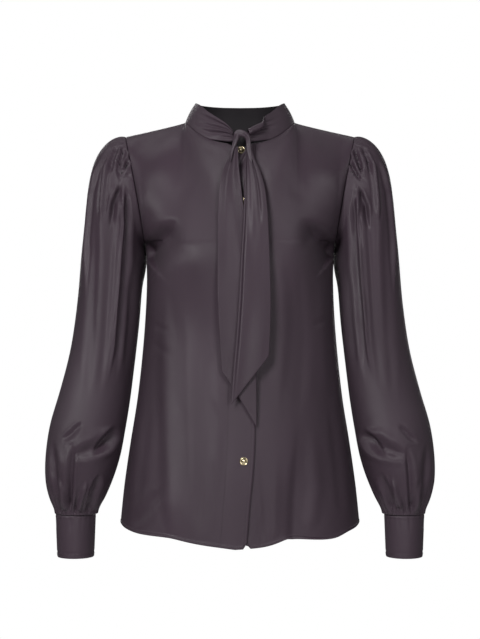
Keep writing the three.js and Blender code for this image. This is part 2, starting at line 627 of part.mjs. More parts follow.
function tailGrids(tail) {
  const columns = spread(tail.columns, 0, 1);
  const topZ = tail.sections[0].z;
  const outer = spread(tail.rows, 1, 0).map((down) => columns.map((across) => {
    const z = lerp(topZ, lerp(tail.cutLeftZ, tail.cutRightZ, across), down);
    const place = placeOf(tail.sections, 'z', z);
    const [left, right] = ['left', 'right'].map((edge) => between(tail.sections, edge, place));
    const wave = Math.sin(2 * Math.PI * tail.folds * across);
    const y = between(tail.sections, 'y', place) + wave * between(tail.sections, 'fold', place);
    return new THREE.Vector3(lerp(left, right, across), y, z);
  }));
  return { outer, inner: innerGrid(outer, TIE_THICKNESS, false) };
}

addMesh('tie_knot', knotGeometry(), satin(0.36));
for (const [name, tail] of [['tie_tail_under', UNDER_TAIL], ['tie_tail_over', OVER_TAIL]]) {
  const grids = tailGrids(tail);
  addMesh(name, wallGeometry(grids.outer, grids.inner, false), satin(0.36));
}

// Buttons: a flat back, a rim and a low dome, turned about the way they face
function buttonGeometry({ radius, rim, height, sides }) {
  const profile = [
    [0, 0], [radius, 0], [radius, rim], [radius * 0.8, rim], [radius * 0.5, height * 0.8], [0, height],
  ];
  return new THREE.LatheGeometry(profile.map(([r, h]) => new THREE.Vector2(r, h)), sides);
}

function addButton(name, size, seat, facing) {
  const mesh = addMesh(name, buttonGeometry(size), gold(), seat.clone().addScaledVector(facing, BUTTON_SEAT));
  mesh.quaternion.setFromUnitVectors(new THREE.Vector3(0, 1, 0), facing);
}

// Seat at a given height on a line of points that runs up a wall, and the way the cloth faces there
function seatOn(line, z) {
  const above = line.findIndex((point) => point.z > z);
  const [low, high] = [line[above - 1], line[above]];
  const up = high.clone().sub(low);
  const point = low.clone().addScaledVector(up, (z - low.z) / up.z);
  return { point, facing: new THREE.Vector3(1, 0, 0).cross(up).normalize() };
}

const centreLine = frontRight.outer.map((line) => line.at(-2));
const standCentre = Math.round((STAND.columns * STAND.reach) / (STAND.reach + STAND.lap));
const standLine = standRight.outer.map((line) => line[standCentre]);
BUTTON_HEIGHTS.forEach((z, index) => {
  const seat = seatOn(index === 0 ? standLine : centreLine, z);
  addButton(`button_front_${index + 1}`, FRONT_BUTTON, seat.point, seat.facing);
});

for (const [side, sign] of [['left', 1], ['right', -1]]) {
  CUFF_BUTTON_HEIGHTS.forEach((z, index) => {
    const share = (z - CUFF.topZ) / (CUFF.bottomZ - CUFF.topZ);
    const turn = CUFF_START + 360 + CUFF.lapTurn / 2;
    const seat = cuffPoint(turn, share, 0);
    const out = cuffPoint(turn, share, 1).sub(seat).normalize();
    seat.x *= sign;
    out.x *= sign;
    addButton(`button_cuff_${side}_${index + 1}`, CUFF_BUTTON, seat, out);
  });
}

export default group;
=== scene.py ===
"""Tie-neck satin blouse, filled out as if worn, dressed on the frame of its CAD solids.

Sizes are millimetres until a mesh is made, +Z is up and the front faces -Y. Right and left are the
wearer's, so the wearer's left is at +X. A place on a body panel is its column, 0 at the centre line
and 1 at the side seam and armhole, and its level, 0 at the hem, 8 at the underarm and 9 at the top,
which is the neckline and the shoulder seam.
"""

import logging
import math
from dataclasses import dataclass, field, replace
from enum import Enum

import bpy
import numpy as np
from mathutils import Euler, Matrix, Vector


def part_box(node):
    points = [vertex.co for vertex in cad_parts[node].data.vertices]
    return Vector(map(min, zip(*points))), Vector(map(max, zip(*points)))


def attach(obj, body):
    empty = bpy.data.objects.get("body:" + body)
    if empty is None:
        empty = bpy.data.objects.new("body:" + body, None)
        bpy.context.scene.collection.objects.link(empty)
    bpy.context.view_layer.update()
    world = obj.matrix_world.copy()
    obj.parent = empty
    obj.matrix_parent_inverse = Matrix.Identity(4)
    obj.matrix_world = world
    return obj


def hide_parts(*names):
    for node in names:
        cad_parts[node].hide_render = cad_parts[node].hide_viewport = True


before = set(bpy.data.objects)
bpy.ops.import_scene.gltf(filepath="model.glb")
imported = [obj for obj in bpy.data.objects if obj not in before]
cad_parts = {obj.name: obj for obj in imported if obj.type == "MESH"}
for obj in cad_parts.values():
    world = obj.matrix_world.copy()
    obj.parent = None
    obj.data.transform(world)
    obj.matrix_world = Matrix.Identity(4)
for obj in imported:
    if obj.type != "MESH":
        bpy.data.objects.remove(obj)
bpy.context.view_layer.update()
LOG = logging.getLogger("blouse")
MM = 0.001
BODY = "root"


def blend(low: float, high: float, share: np.ndarray) -> np.ndarray:
    """Straight mix of two values.

    Args:
        low: Value at share 0.
        high: Value at share 1.
        share: How far to go.

    Returns:
        The mixed value.
    """
    return low + (high - low) * share


def smooth(value: np.ndarray, low: float, high: float) -> np.ndarray:
    """Soft step from 0 to 1.

    Args:
        value: Where to look.
        low: Where the step starts.
        high: Where it is full.

    Returns:
        The height of the step.
    """
    share = np.clip((value - low) / (high - low), 0.0, 1.0)
    return share * share * (3.0 - 2.0 * share)


def rounded(value: np.ndarray, power: float) -> np.ndarray:
    """Sine or cosine of a rounded-square section.

    Args:
        value: The plain sine or cosine.
        power: 2 for an ellipse, more for squarer.

    Returns:
        The value for the squarer section.
    """
    return np.sign(value) * np.abs(value) ** (2.0 / power)


def along_table(values: np.ndarray, place: np.ndarray) -> np.ndarray:
    """Smooth curve through a table's rows.

    Args:
        values: One value or point for each row.
        place: Row numbers, with parts of a row.

    Returns:
        The value or point at each place.
    """
    last = len(values) - 1
    row = np.clip(np.floor(place).astype(int), 0, last - 1)
    share = place - row
    before = values[np.clip(row - 1, 0, last)]
    start = values[row]
    end = values[row + 1]
    after = values[np.clip(row + 2, 0, last)]
    share = share.reshape(share.shape + (1,) * (start.ndim - share.ndim))
    rise = (end - before) / 2.0
    fall = (after - start) / 2.0
    cubic = 2.0 * (start - end) + rise + fall
    square = 3.0 * (end - start) - 2.0 * rise - fall
    return ((cubic * share + square) * share + rise) * share + start


def place_of(keys: np.ndarray, wanted: np.ndarray) -> np.ndarray:
    """Row number at which a steadily changing key has a wanted value.

    Args:
        keys: The key of each row, rising or falling.
        wanted: Values to find.

    Returns:
        Row numbers, with parts of a row.
    """
    rows = np.arange(len(keys), dtype=float)
    if keys[0] > keys[-1]:
        return np.interp(-wanted, -keys, rows)
    return np.interp(wanted, keys, rows)


def lengths(line: np.ndarray) -> np.ndarray:
    """Length along a line up to each of its points.

    Args:
        line: The points.

    Returns:
        The lengths.
    """
    return np.concatenate([[0.0], np.cumsum(np.linalg.norm(np.diff(line, axis=0), axis=1))])


def along_line(wanted: np.ndarray, reach: np.ndarray, values: np.ndarray) -> np.ndarray:
    """Points or directions at wanted lengths along a line.

    Args:
        wanted: The lengths.
        reach: Length at each of the line's points.
        values: Point or direction at each of them.

    Returns:
        One row for each wanted length.
    """
    return np.stack([np.interp(wanted, reach, part) for part in values.T], axis=-1)


@dataclass(frozen=True)
class Crease:
    """One soft fold, given as a line seen square on from the front or the back.

    Attributes:
        line: Corners of the line, as x, z, x, z and so on.
        width: Half width of the fold at its middle.
        depth: How far it goes in, or out where it is less than 0.
        skew: -1 to 1, how much steeper one flank is than the other.
        start: Share of the line over which it fades in.
        end: Share of the line over which it fades out.
        brow: Height of the rise on both sides, as a share of the depth.
    """

    line: tuple
    width: float
    depth: float
    skew: float = 0.0
    start: float = 0.3
    end: float = 0.35
    brow: float = 0.3

    def at(self, x: np.ndarray, z: np.ndarray) -> np.ndarray:
        """Depth of the fold.

        Args:
            x: Places across.
            z: Places up.

        Returns:
            How far the cloth goes in at each place.
        """
        corners = np.array(self.line, dtype=float).reshape(-1, 2)
        reach = lengths(corners)
        nearest = np.full(x.shape, 1e9)
        aside = np.zeros(x.shape)
        place = np.zeros(x.shape)
        for corner, after, done in zip(corners, corners[1:], reach):
            span = np.linalg.norm(after - corner)
            way = (after - corner) / span
            dx = x - corner[0]
            dz = z - corner[1]
            run = np.clip(dx * way[0] + dz * way[1], 0.0, span)
            off = np.hypot(dx - run * way[0], dz - run * way[1])
            side = np.sign(dx * way[1] - dz * way[0])
            closer = off < nearest
            nearest = np.where(closer, off, nearest)
            aside = np.where(closer, off * side, aside)
            place = np.where(closer, (done + run) / reach[-1], place)
        fade = smooth(place, 0.0, self.start) * (1.0 - smooth(place, 1.0 - self.end, 1.0))
        width = self.width * (1.0 + self.skew * np.sign(aside)) * (0.55 + 0.45 * fade)
        share = aside / width
        valley = np.exp(-share ** 2)
        brows = self.brow * np.exp(-((np.abs(share) - 1.9) / 0.9) ** 2)
        return self.depth * fade * (valley - brows)


def crease_depth(creases: tuple, x: np.ndarray, z: np.ndarray) -> np.ndarray:
    """Depth of all creases together.

    Args:
        creases: The folds.
        x: Places across.
        z: Places up.

    Returns:
        How far the cloth goes in at each place.
    """
    depth = np.zeros(x.shape)
    for crease in creases:
        depth += crease.at(x, z)
    return depth


@dataclass(frozen=True)
class Gather:
    """One small fold that runs off a gathered seam.

    Attributes:
        turn: Degrees round the sleeve, 0 away from the body and 90 at the front.
        length: How far it runs.
        width: Half width near its end.
        depth: Depth at the seam.
        lean: Degrees that it turns in its length.
    """

    turn: float
    length: float
    width: float
    depth: float
    lean: float = 0.0

    def at(self, turn: np.ndarray, run: np.ndarray, radius: float) -> np.ndarray:
        """Depth of the gather.

        Args:
            turn: Degrees round the sleeve.
            run: Distance from the seam.
            radius: Radius of the sleeve there.

        Returns:
            How far the cloth goes in at each place.
        """
        share = np.clip(run / self.length, 0.0, 1.0)
        apart = (turn - self.turn - self.lean * share + 180.0) % 360.0 - 180.0
        aside = np.radians(apart) * radius
        width = self.width * (0.5 + 0.6 * share)
        fade = (1.0 - smooth(share, 0.35, 1.0)) * (0.2 + 0.8 * smooth(share, 0.0, 0.16))
        return self.depth * fade * np.exp(-(aside / width) ** 2)


def uneven_gathers(seed: int, count: int, low: float, high: float, length: float, depth: float) -> tuple:
    """Small gathers of mixed length and depth along a stretch of a seam.

    Args:
        seed: Fixes the mix.
        count: How many.
        low: First degree of the stretch.
        high: Last degree of the stretch.
        length: Usual length.
        depth: Usual depth.

    Returns:
        The gathers.
    """
    pick = np.random.default_rng(seed)
    step = (high - low) / count
    made = []
    for index in range(count):
        turn = low + step * (index + 0.5 + pick.uniform(-0.28, 0.28))
        long = length * pick.uniform(0.4, 1.5)
        wide = pick.uniform(1.7, 3.3)
        deep = depth * pick.uniform(0.45, 1.3)
        made.append(Gather(turn, long, wide, deep, pick.uniform(-5.0, 5.0)))
    return tuple(made)


class Face(Enum):
    """The two faces of the body."""

    FRONT = -1
    BACK = 1


class Side(Enum):
    """The wearer's sides."""

    LEFT = "left"
    RIGHT = "right"


NECK_HALF_WIDTH = 82.0
HIGH_POINT = 0.36
SHOULDER = (171.0, 4.0, -21.0)
UNDERARM = 8.0
TOP = 9.0
ROUNDNESS = 2.2


@dataclass(frozen=True)
class BodySizes:
    """Sections of the body from hem to underarm, and the lines of the neck and armholes.

    Attributes:
        front_z: Height of each section at the centre front.
        side_z: Height of each section at the side seam.
        back_z: Height of each section at the centre back.
        half_width: Half width of each section.
        front: Depth of the front from the wearer's middle.
        back: Depth of the back.
        shift: How far the centre front line lies off the middle.
    """

    front_z: tuple = (-624, -560, -490, -420, -350, -290, -240, -205, -182)
    side_z: tuple = (-597, -540, -478, -412, -345, -287, -238, -204, -181)
    back_z: tuple = (-634, -565, -492, -420, -350, -290, -240, -205, -182)
    half_width: tuple = (179, 173, 164, 153.5, 146, 141.5, 139.5, 140.5, 142.5)
    front: tuple = (130, 128, 125, 122, 120, 119, 124, 128, 128)
    back: tuple = (128, 121, 112, 100, 91, 88, 94, 100.5, 102.5)
    shift: tuple = (-4, 2, 6, 6, 5, 5, 4, 3, 2)
    front_neck: tuple = (39.0, 82.0, 60.0)
    back_neck: tuple = (9.0, 62.0, 42.0)
    shoulder_slope: float = 22.0
    armhole_half_depth: float = 52.0
    armhole_power: float = 1.3
    armhole_ease: float = 2.4
    back_hem_curve: float = 1.7
    bust: tuple = (80.0, -203.0, 9.0, 42.0, 50.0)
    neck_dip: tuple = (19.0, 9.0)
    front_falls: tuple = (
        (132, -140, 118, -176, 9, 2.5),
        (-132, -140, -118, -176, 9, 2.5),
        (72, -612, 84, -450, 13, 7),
        (-88, -300, -84, -610, 20, -5),
        (-128, -320, -140, -600, 16, 5),
        (128, -320, 141, -600, 16, 5),
    )
    back_falls: tuple = (
        (62, -230, 78, -625, 22, 6),
        (-66, -240, -74, -625, 22, 6),
        (3, -300, -4, -625, 26, -5),
        (130, -300, 142, -600, 16, 5),
        (-130, -300, -142, -600, 16, 5),
    )


@dataclass(frozen=True)
class BodyForm:
    """The smooth form that the panels, the armholes and the neckline lie on."""

    sizes: BodySizes = BodySizes()

    def row(self, name: str, level: np.ndarray) -> np.ndarray:
        """A named size of the sections.

        Args:
            name: The size.
            level: Section numbers.

        Returns:
            The size at each level.
        """
        return along_table(np.array(getattr(self.sizes, name), dtype=float), level)

    def section(self, face: Face, column: np.ndarray, level: np.ndarray) -> np.ndarray:
        """Points round the body below the underarm.

        Args:
            face: Front or back.
            column: Way from the centre line to the side seam.
            level: Section number.

        Returns:
            The points.
        """
        name = "front" if face is Face.FRONT else "back"
        angle = np.abs(column) * math.pi / 2.0
        depth = self.row(name, level) - face.value * SHOULDER[1]
        x = np.sign(column) * self.row("half_width", level) * rounded(np.sin(angle), ROUNDNESS)
        y = SHOULDER[1] + face.value * depth * rounded(np.maximum(np.cos(angle), 0.0), ROUNDNESS)
        rise = np.abs(column) ** (1.0 if face is Face.FRONT else self.sizes.back_hem_curve)
        z = blend(self.row(name + "_z", level), self.row("side_z", level), rise)
        return np.stack([x, y, z], axis=-1)

    def top(self, face: Face, column: np.ndarray) -> np.ndarray:
        """Points along the neckline and the shoulder seam.

        Args:
            face: Front or back.
            column: Way from the centre line to the armhole.

        Returns:
            The points.
        """
        drop, depth, _ = self.sizes.front_neck if face is Face.FRONT else self.sizes.back_neck
        reach = np.abs(column)
        angle = np.minimum(reach / HIGH_POINT, 1.0) * math.pi / 2.0
        neck_x = NECK_HALF_WIDTH * rounded(np.sin(angle), ROUNDNESS)
        neck_y = face.value * depth * rounded(np.maximum(np.cos(angle), 0.0), ROUNDNESS)
        rise = 1.0 - np.minimum(neck_x / NECK_HALF_WIDTH, 1.0) ** 2.5
        neck_z = -drop * np.maximum(rise, 0.0) ** 0.9
        share = np.clip((reach - HIGH_POINT) / (1.0 - HIGH_POINT), 0.0, 1.0)
        on_neck = reach <= HIGH_POINT
        x = np.where(on_neck, neck_x, blend(NECK_HALF_WIDTH, SHOULDER[0], share))
        y = np.where(on_neck, neck_y, SHOULDER[1] * share)
        z = np.where(on_neck, neck_z, SHOULDER[2] * share ** 0.9)
        return np.stack([np.sign(column) * x, y, z], axis=-1)

    def armhole(self, face: Face, side: np.ndarray, height: np.ndarray) -> np.ndarray:
        """Points of the armhole seam.

        Args:
            face: Front or back.
            side: 1 at the left, -1 at the right.
            height: 0 at the underarm, 1 at the shoulder.

        Returns:
            The points.
        """
        x = blend(self.sizes.half_width[-1], SHOULDER[0], height ** self.sizes.armhole_power)
        swing = 2.0 * np.sqrt(np.maximum(height * (1.0 - height), 0.0))
        y = SHOULDER[1] + face.value * self.sizes.armhole_half_depth * swing
        z = blend(self.sizes.side_z[-1], SHOULDER[2], height)
        return np.stack([side * x, y, z], axis=-1)

    def chest(self, face: Face, column: np.ndarray, height: np.ndarray) -> np.ndarray:
        """Points from the underarm section over to the neckline and shoulder seam.

        Args:
            face: Front or back.
            column: Way from the centre line to the armhole.
            height: 0 at the underarm, 1 at the top.

        Returns:
            The points.
        """
        slope = (self.sizes.front_neck if face is Face.FRONT else self.sizes.back_neck)[2]
        low = self.section(face, column, np.full(column.shape, UNDERARM))
        top = self.top(face, column)
        reach = np.linalg.norm(low - top, axis=-1)
        calm = smooth(np.abs(column), 0.0, HIGH_POINT)
        lean = np.radians(blend(slope, self.sizes.shoulder_slope, calm))
        lead = low.copy()
        lead[..., 2] += 0.35 * (top[..., 2] - low[..., 2])
        end = top.copy()
        end[..., 1] += face.value * np.cos(lean) * reach * 0.28
        end[..., 2] -= np.sin(lean) * reach * 0.28
        share = height[..., None]
        rest = 1.0 - share
        return (low * rest ** 3 + 3 * lead * rest ** 2 * share + 3 * end * rest * share ** 2
                + top * share ** 3)

    def falls(self, face: Face, x: np.ndarray, z: np.ndarray) -> np.ndarray:
        """Depth of the broad falls that the solids have too.

        Args:
            face: Front or back.
            x: Places across.
            z: Places up.

        Returns:
            How far the cloth goes in.
        """
        depth = np.zeros(x.shape)
        rows = self.sizes.front_falls if face is Face.FRONT else self.sizes.back_falls
        for x1, z1, x2, z2, width, deep in rows:
            length = math.hypot(x2 - x1, z2 - z1)
            way = ((x2 - x1) / length, (z2 - z1) / length)
            place = ((x - x1) * way[0] + (z - z1) * way[1]) / length
            aside = (x - x1) * way[1] - (z - z1) * way[0]
            fade = smooth(place, -0.15, 0.25) * (1.0 - smooth(place, 0.85, 1.15))
            depth += deep * fade * np.exp(-(aside / width) ** 2)
        return depth

    def point(self, face: Face, column: np.ndarray, level: np.ndarray) -> np.ndarray:
        """Points of a panel.

        Args:
            face: Front or back.
            column: -1 to 1, from the right side seam to the left one.
            level: 0 at the hem to 9 at the neckline and shoulder.

        Returns:
            The points.
        """
        height = np.clip(level - UNDERARM, 0.0, 1.0)
        side = np.where(column < 0, -1.0, 1.0)
        body = self.section(face, column, np.minimum(level, UNDERARM))
        chest = self.chest(face, column, height)
        pull = smooth(np.abs(column), 0.3, 1.0)[..., None]
        late = height ** (1.0 + self.sizes.armhole_ease * (1.0 - np.abs(column)))
        chest = chest + (self.armhole(face, side, late) - self.chest(face, side, late)) * pull
        points = np.where((level <= UNDERARM)[..., None], body, chest)
        edge = 1.0 - smooth(np.abs(column), 0.88, 1.0)
        fade = 1.0 - smooth(level, UNDERARM + 0.3, UNDERARM + 0.9)
        points[..., 1] -= face.value * self.falls(face, points[..., 0], points[..., 2]) * edge * fade
        if face is Face.FRONT:
            x, z, rise, wide, tall = self.sizes.bust
            aside = (np.abs(points[..., 0]) - x) / wide
            up = (points[..., 2] - z) / tall
            points[..., 1] -= rise * np.exp(-aside ** 2 - up ** 2) * edge * fade
            shift = self.row("shift", np.minimum(level, UNDERARM))
            points[..., 0] += shift * (1.0 - np.abs(column)) ** 2 * fade
            near = np.exp(-(points[..., 0] / self.sizes.neck_dip[1]) ** 2)
            dip = self.sizes.neck_dip[0] * near * smooth(level, UNDERARM + 0.45, UNDERARM + 1.0)
            points[..., 2] -= dip
            points[..., 1] -= dip / math.tan(math.radians(self.sizes.front_neck[2]))
        return points


def surface_normals(grid: np.ndarray, round_it: bool = False) -> np.ndarray:
    """Unit normals of a grid of points.

    Args:
        grid: Rows of points.
        round_it: Whether the last column meets the first.

    Returns:
        One normal for each point, along columns crossed with rows.
    """
    if round_it:
        across = np.roll(grid, -1, axis=1) - np.roll(grid, 1, axis=1)
    else:
        across = np.gradient(grid, axis=1)
    up = np.gradient(grid, axis=0)
    normals = np.cross(across, up)
    length = np.linalg.norm(normals, axis=-1, keepdims=True)
    return normals / np.maximum(length, 1e-9)


def pushed_in(grid: np.ndarray, depth: np.ndarray, round_it: bool = False) -> np.ndarray:
    """A grid moved against its own normals.

    Args:
        grid: Rows of points.
        depth: How far each goes in.
        round_it: Whether the last column meets the first.

    Returns:
        The moved grid.
    """
    return grid - surface_normals(grid, round_it) * depth[..., None]


def eased(values: np.ndarray, axis: int, spread: float) -> np.ndarray:
    """Values averaged softly with their neighbours.

    Args:
        values: A grid of numbers.
        axis: 0 to average over rows, 1 over columns.
        spread: How many neighbours count.

    Returns:
        The averaged grid.
    """
    reach = int(spread * 2.5)
    weights = np.exp(-(np.arange(-reach, reach + 1) / spread) ** 2)
    weights /= weights.sum()
    margin = [(0, 0), (0, 0)]
    margin[axis] = (reach, reach)
    wide = np.pad(values, margin, mode="reflect", reflect_type="odd")
    total = np.zeros(values.shape)
    for index, weight in enumerate(weights):
        part = wide[index:index + values.shape[0]] if axis == 0 else wide[:, index:index + values.shape[1]]
        total += weight * part
    return total


def seam_roll(shape: tuple, sides: str, depth: float = 0.6) -> np.ndarray:
    """Depth by which the edges of a piece turn into its seams.

    Args:
        shape: Rows and columns.
        sides: Any of "b", "t", "l" and "r" for bottom, top, first and last column.
        depth: How far the edge turns in.

    Returns:
        The depth at each point.
    """
    roll = np.zeros(shape)
    for near, far in ((0, depth), (1, depth * 0.35)):
        edges = {"b": roll[near], "t": roll[-1 - near], "l": roll[:, near], "r": roll[:, -1 - near]}
        for side in sides:
            edges[side][:] = np.maximum(edges[side], far)
    return roll


def edged(places: np.ndarray, step: float) -> np.ndarray:
    """Places with one more close to each end, so that an edge can turn sharply.

    Args:
        places: The places in order.
        step: How close the added ones are.

    Returns:
        The longer row of places.
    """
    return np.concatenate([[places[0], places[0] + step], places[1:-1], [places[-1] - step, places[-1]]])


def new_piece(name: str, points: np.ndarray, faces: np.ndarray, uv: np.ndarray) -> bpy.types.Object:
    """A shaded mesh object.

    Args:
        name: Its name.
        points: Its points, in millimetres.
        faces: Corners of its quads.
        uv: Place of each corner on the cloth, in metres.

    Returns:
        The object, linked to the scene.
    """
    mesh = bpy.data.meshes.new(name)
    mesh.vertices.add(len(points))
    mesh.vertices.foreach_set("co", (points * MM).astype(np.float32).ravel())
    mesh.loops.add(faces.size)
    mesh.loops.foreach_set("vertex_index", faces.astype(np.int32).ravel())
    mesh.polygons.add(len(faces))
    mesh.polygons.foreach_set("loop_start", np.arange(0, faces.size, 4, dtype=np.int32))
    layer = mesh.uv_layers.new(name="cloth")
    mesh.update(calc_edges=True)
    layer.data.foreach_set("uv", uv.astype(np.float32).ravel())
    mesh.polygons.foreach_set("use_smooth", np.ones(len(faces), dtype=bool))
    mesh.validate()
    piece = bpy.data.objects.new(name, mesh)
    bpy.context.scene.collection.objects.link(piece)
    return piece


def grid_quads(rows: int, columns: int, round_it: bool) -> tuple:
    """Quads of a grid of points.

    Args:
        rows: Its rows.
        columns: Its columns.
        round_it: Whether the last column meets the first.

    Returns:
        The point numbers, the rows and the columns of each quad's corners.
    """
    spans = columns if round_it else columns - 1
    row, column = (part.ravel() for part in np.meshgrid(np.arange(rows - 1), np.arange(spans), indexing="ij"))
    corner_rows = np.stack([row, row, row + 1, row + 1], axis=1)
    corner_columns = np.stack([column, column + 1, column + 1, column], axis=1)
    return corner_rows * columns + corner_columns % columns, corner_rows, corner_columns


def shell(name: str, outer: np.ndarray, thickness: float, round_it: bool = False) -> bpy.types.Object:
    """A closed thin piece of cloth behind its outer face.

    Args:
        name: Its name.
        outer: Rows of points of the outer face.
        thickness: Thickness of the cloth.
        round_it: Whether it is a tube.

    Returns:
        The object.
    """
    rows, columns = outer.shape[:2]
    inner = outer - surface_normals(outer, round_it) * thickness
    points = np.concatenate([outer.reshape(-1, 3), inner.reshape(-1, 3)])
    half = rows * columns
    quads, corner_rows, corner_columns = grid_quads(rows, columns, round_it)
    closed = np.concatenate([outer, outer[:, :1]], axis=1) if round_it else outer
    wide = np.linalg.norm(np.diff(closed, axis=1), axis=2).mean(axis=0)
    tall = np.linalg.norm(np.diff(outer, axis=0), axis=2).mean(axis=1)
    u, v = (np.concatenate([[0.0], np.cumsum(steps)]) * MM for steps in (wide, tall))
    uv = np.stack([u[corner_columns], v[corner_rows]], axis=-1)
    faces = [quads, half + quads[:, ::-1]]
    places = [uv, uv[:, ::-1]]
    span = np.arange(len(wide))
    lift = np.arange(rows - 1)
    rims = [(edge * columns + span, edge * columns + (span + 1) % columns, u[span], v[edge], flip)
            for edge, flip in ((0, True), (rows - 1, False))]
    if not round_it:
        rims += [(lift * columns + edge, (lift + 1) * columns + edge, u[edge], v[lift], flip)
                 for edge, flip in ((0, False), (columns - 1, True))]
    for start, end, across, up, flip in rims:
        rim = np.stack([start, end, half + end, half + start], axis=1)
        faces.append(rim[:, ::-1] if flip else rim)
        flat = np.stack(np.broadcast_arrays(across, up), axis=-1)
        places.append(np.repeat(flat[:, None, :], 4, axis=1))
    piece = new_piece(name, points, np.concatenate(faces), np.concatenate(places).reshape(-1, 2))
    side = np.zeros(len(piece.data.polygons), dtype=np.int32)
    side[len(quads):2 * len(quads)] = 1
    piece.data.polygons.foreach_set("material_index", side)
    return piece


@dataclass(frozen=True)
class TwoSidedCloth:
    """Finishes of the smooth side, which shows, and of the duller wrong side against the wearer, whose much
    darker colour is painted shade on every inner face.
    """

    face: bpy.types.Material
    reverse: bpy.types.Material


@dataclass(frozen=True)
class ClothPiece:
    """One piece of cloth and the CAD node that it stands for.

    Attributes:
        node: CAD node that it stands for.
        flat: Width and length of its cut, in metres; not used.
        area: Area of the cut, in square metres; not used.
        held: How it is held; not used.
        name: Its name, where that isn't the node's.
    """

    node: str
    flat: tuple
    area: float
    held: str = "folded"
    name: str = ""

    def finish(self, piece: bpy.types.Object, satin: TwoSidedCloth) -> bpy.types.Object:
        """Dress a piece, hang it on the body and hide the CAD node that it stands for.

        Args:
            piece: The piece.
            satin: Its finish.

        Returns:
            The same piece.
        """
        piece.data.materials.append(satin.face)
        # Second slot, for the inner faces: the wrong side's finish, painted dark as shade.
        piece.data.materials.append(satin.reverse)
        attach(piece, BODY)
        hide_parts(self.node)
        LOG.info("%s: %d faces", piece.name, len(piece.data.polygons))
        return piece

    def make(self, outer: np.ndarray, thickness: float, satin: TwoSidedCloth,
             round_it: bool = False) -> bpy.types.Object:
        """Make the piece from its outer face.

        Args:
            outer: Rows of points.
            thickness: Thickness of the cloth.
            satin: Its finish.
            round_it: Whether it is a tube.

        Returns:
            The finished piece.
        """
        return self.finish(shell("satin_" + (self.name or self.node), outer, thickness, round_it), satin)


def on_side(side: Side, grid: np.ndarray) -> np.ndarray:
    """The left side's grid, mirrored where it is for the right side.

    Args:
        side: Side that it is for.
        grid: Rows of points at the left side.

    Returns:
        Rows of points at the wanted side.
    """
    if side is Side.LEFT:
        return grid
    mirrored = grid[:, ::-1].copy()
    mirrored[..., 0] *= -1.0
    return mirrored


RIGHT_FRONT_CREASES = tuple(Crease(*row) for row in (
    ((-145, -202, -84, -148), 19, 17, 0.42, 0.05, 0.5, 0),
    ((-147, -196, -94, -148), 8.5, 7.5, 0, 0.05, 0.6, 0),
    ((-140, -126, -116, -134), 11, -0.5),
    ((-107, -250, -108, -400, -100, -612), 8, -2.4, 0, 0.2, 0.15),
    ((-86, -262, -84, -420, -76, -600), 9, 1.7, 0.2),
    ((-58, -290, -50, -440, -55, -612), 11, 1.4, 0, 0.3, 0.15),
    ((-32, -330, -30, -450, -34, -560), 8, -1.3),
    ((-44, -400, -26, -462, -20, -540), 7, 1.3, -0.2),
    ((-110, -536, -134, -572, -160, -600), 6.5, 1.9, 0.2, 0.3, 0.2),
    ((-132, -420, -146, -520, -152, -585), 7, 1.5, 0),
    ((-128, -229, -120, -216), 2.2, 0.9),
    ((-131, -238, -122, -224), 1.9, 0.7),
    ((-60, -60, -72, -104, -96, -120), 9, 1),
    ((-36, -66, -44, -112, -60, -150), 8, -1.1),
    ((-130, -300, -100, -312), 4, 0.8, 0.3),
    ((-133, -330, -96, -350), 4.5, 0.7, -0.3),
))
LEFT_FRONT_CREASES = tuple(Crease(*row) for row in (
    ((86, -147, 145, -200), 18, 16, 0.42, 0.5, 0.05, 0),
    ((95, -147, 147, -194), 8, 7, 0, 0.6, 0.05, 0),
    ((141, -124, 118, -136), 11, -0.5),
    ((57, -192, 62, -300, 53, -446), 10, -2.5, 0.2, 0.3, 0.4),
    ((85, -216, 91, -330, 84, -452), 11, 2.2, 0.25),
    ((118, -232, 121, -330, 126, -430), 9, -1.6),
    ((88, -430, 78, -614), 34, 10, -0.7, 0.7, 0.04, 0),
    ((19, -505, 25, -560, 31, -622), 1.7, 1.3, 0, 0.3, 0.05),
    ((52, -480, 49, -612), 7, -1.6, 0, 0.5, 0.1),
    ((103, -452, 113, -540, 103, -604), 8.5, -2.2, 0, 0.4, 0.15),
    ((131, -420, 142, -500, 151, -590), 7, 1.6, -0.2, 0.3, 0.2),
    ((27, -470, 36, -560, 38, -612), 5.5, 1.3, 0, 0.5, 0.2),
    ((129, -231, 121, -218), 2.2, 0.9),
    ((132, -240, 123, -227), 1.9, 0.6),
    ((62, -64, 76, -106, 98, -126), 9, 1.1),
    ((40, -70, 48, -120, 62, -160), 8, -1),
    ((133, -294, 104, -306), 4, 0.9, 0.3),
))
BACK_CREASES = tuple(Crease(*row) for row in (
    ((-134, -148, -112, -172, -86, -188), 8.5, 2.8, 0.3, 0.25, 0.5),
    ((135, -154, 114, -178, 90, -196), 8.5, 3.1, -0.3, 0.25, 0.5),
    ((-96, -205, -88, -380, -96, -622), 8.5, -2.6, 0.1, 0.25, 0.1),
    ((-50, -240, -42, -420, -46, -628), 9, 2.4, 0.2, 0.3, 0.1),
    ((20, -215, 15, -400, 24, -630), 8, -2.1, 0, 0.3, 0.1),
    ((50, -236, 44, -400, 51, -628), 8, 2.5, -0.2, 0.35, 0.1),
    ((105, -226, 99, -420, 108, -616), 9, -2.4, 0.1, 0.25, 0.1),
    ((-120, -256, -124, -430, -136, -604), 8, 2, 0.2, 0.3, 0.15),
    ((126, -270, 128, -440, 140, -600), 8, 1.8, 0, 0.35, 0.15),
    ((-70, -272, -30, -284, 12, -279), 4.5, 1, 0.3),
    ((18, -300, 66, -309), 4.5, 0.9, -0.3),
    ((-104, -318, -62, -326), 4.5, 0.8, 0.2),
    ((-58, -46, -34, -118), 9, 1.1),
    ((57, -40, 37, -108), 9, 1),
    ((-18, -500, -10, -628), 6, 1.5, 0, 0.5, 0.1),
))


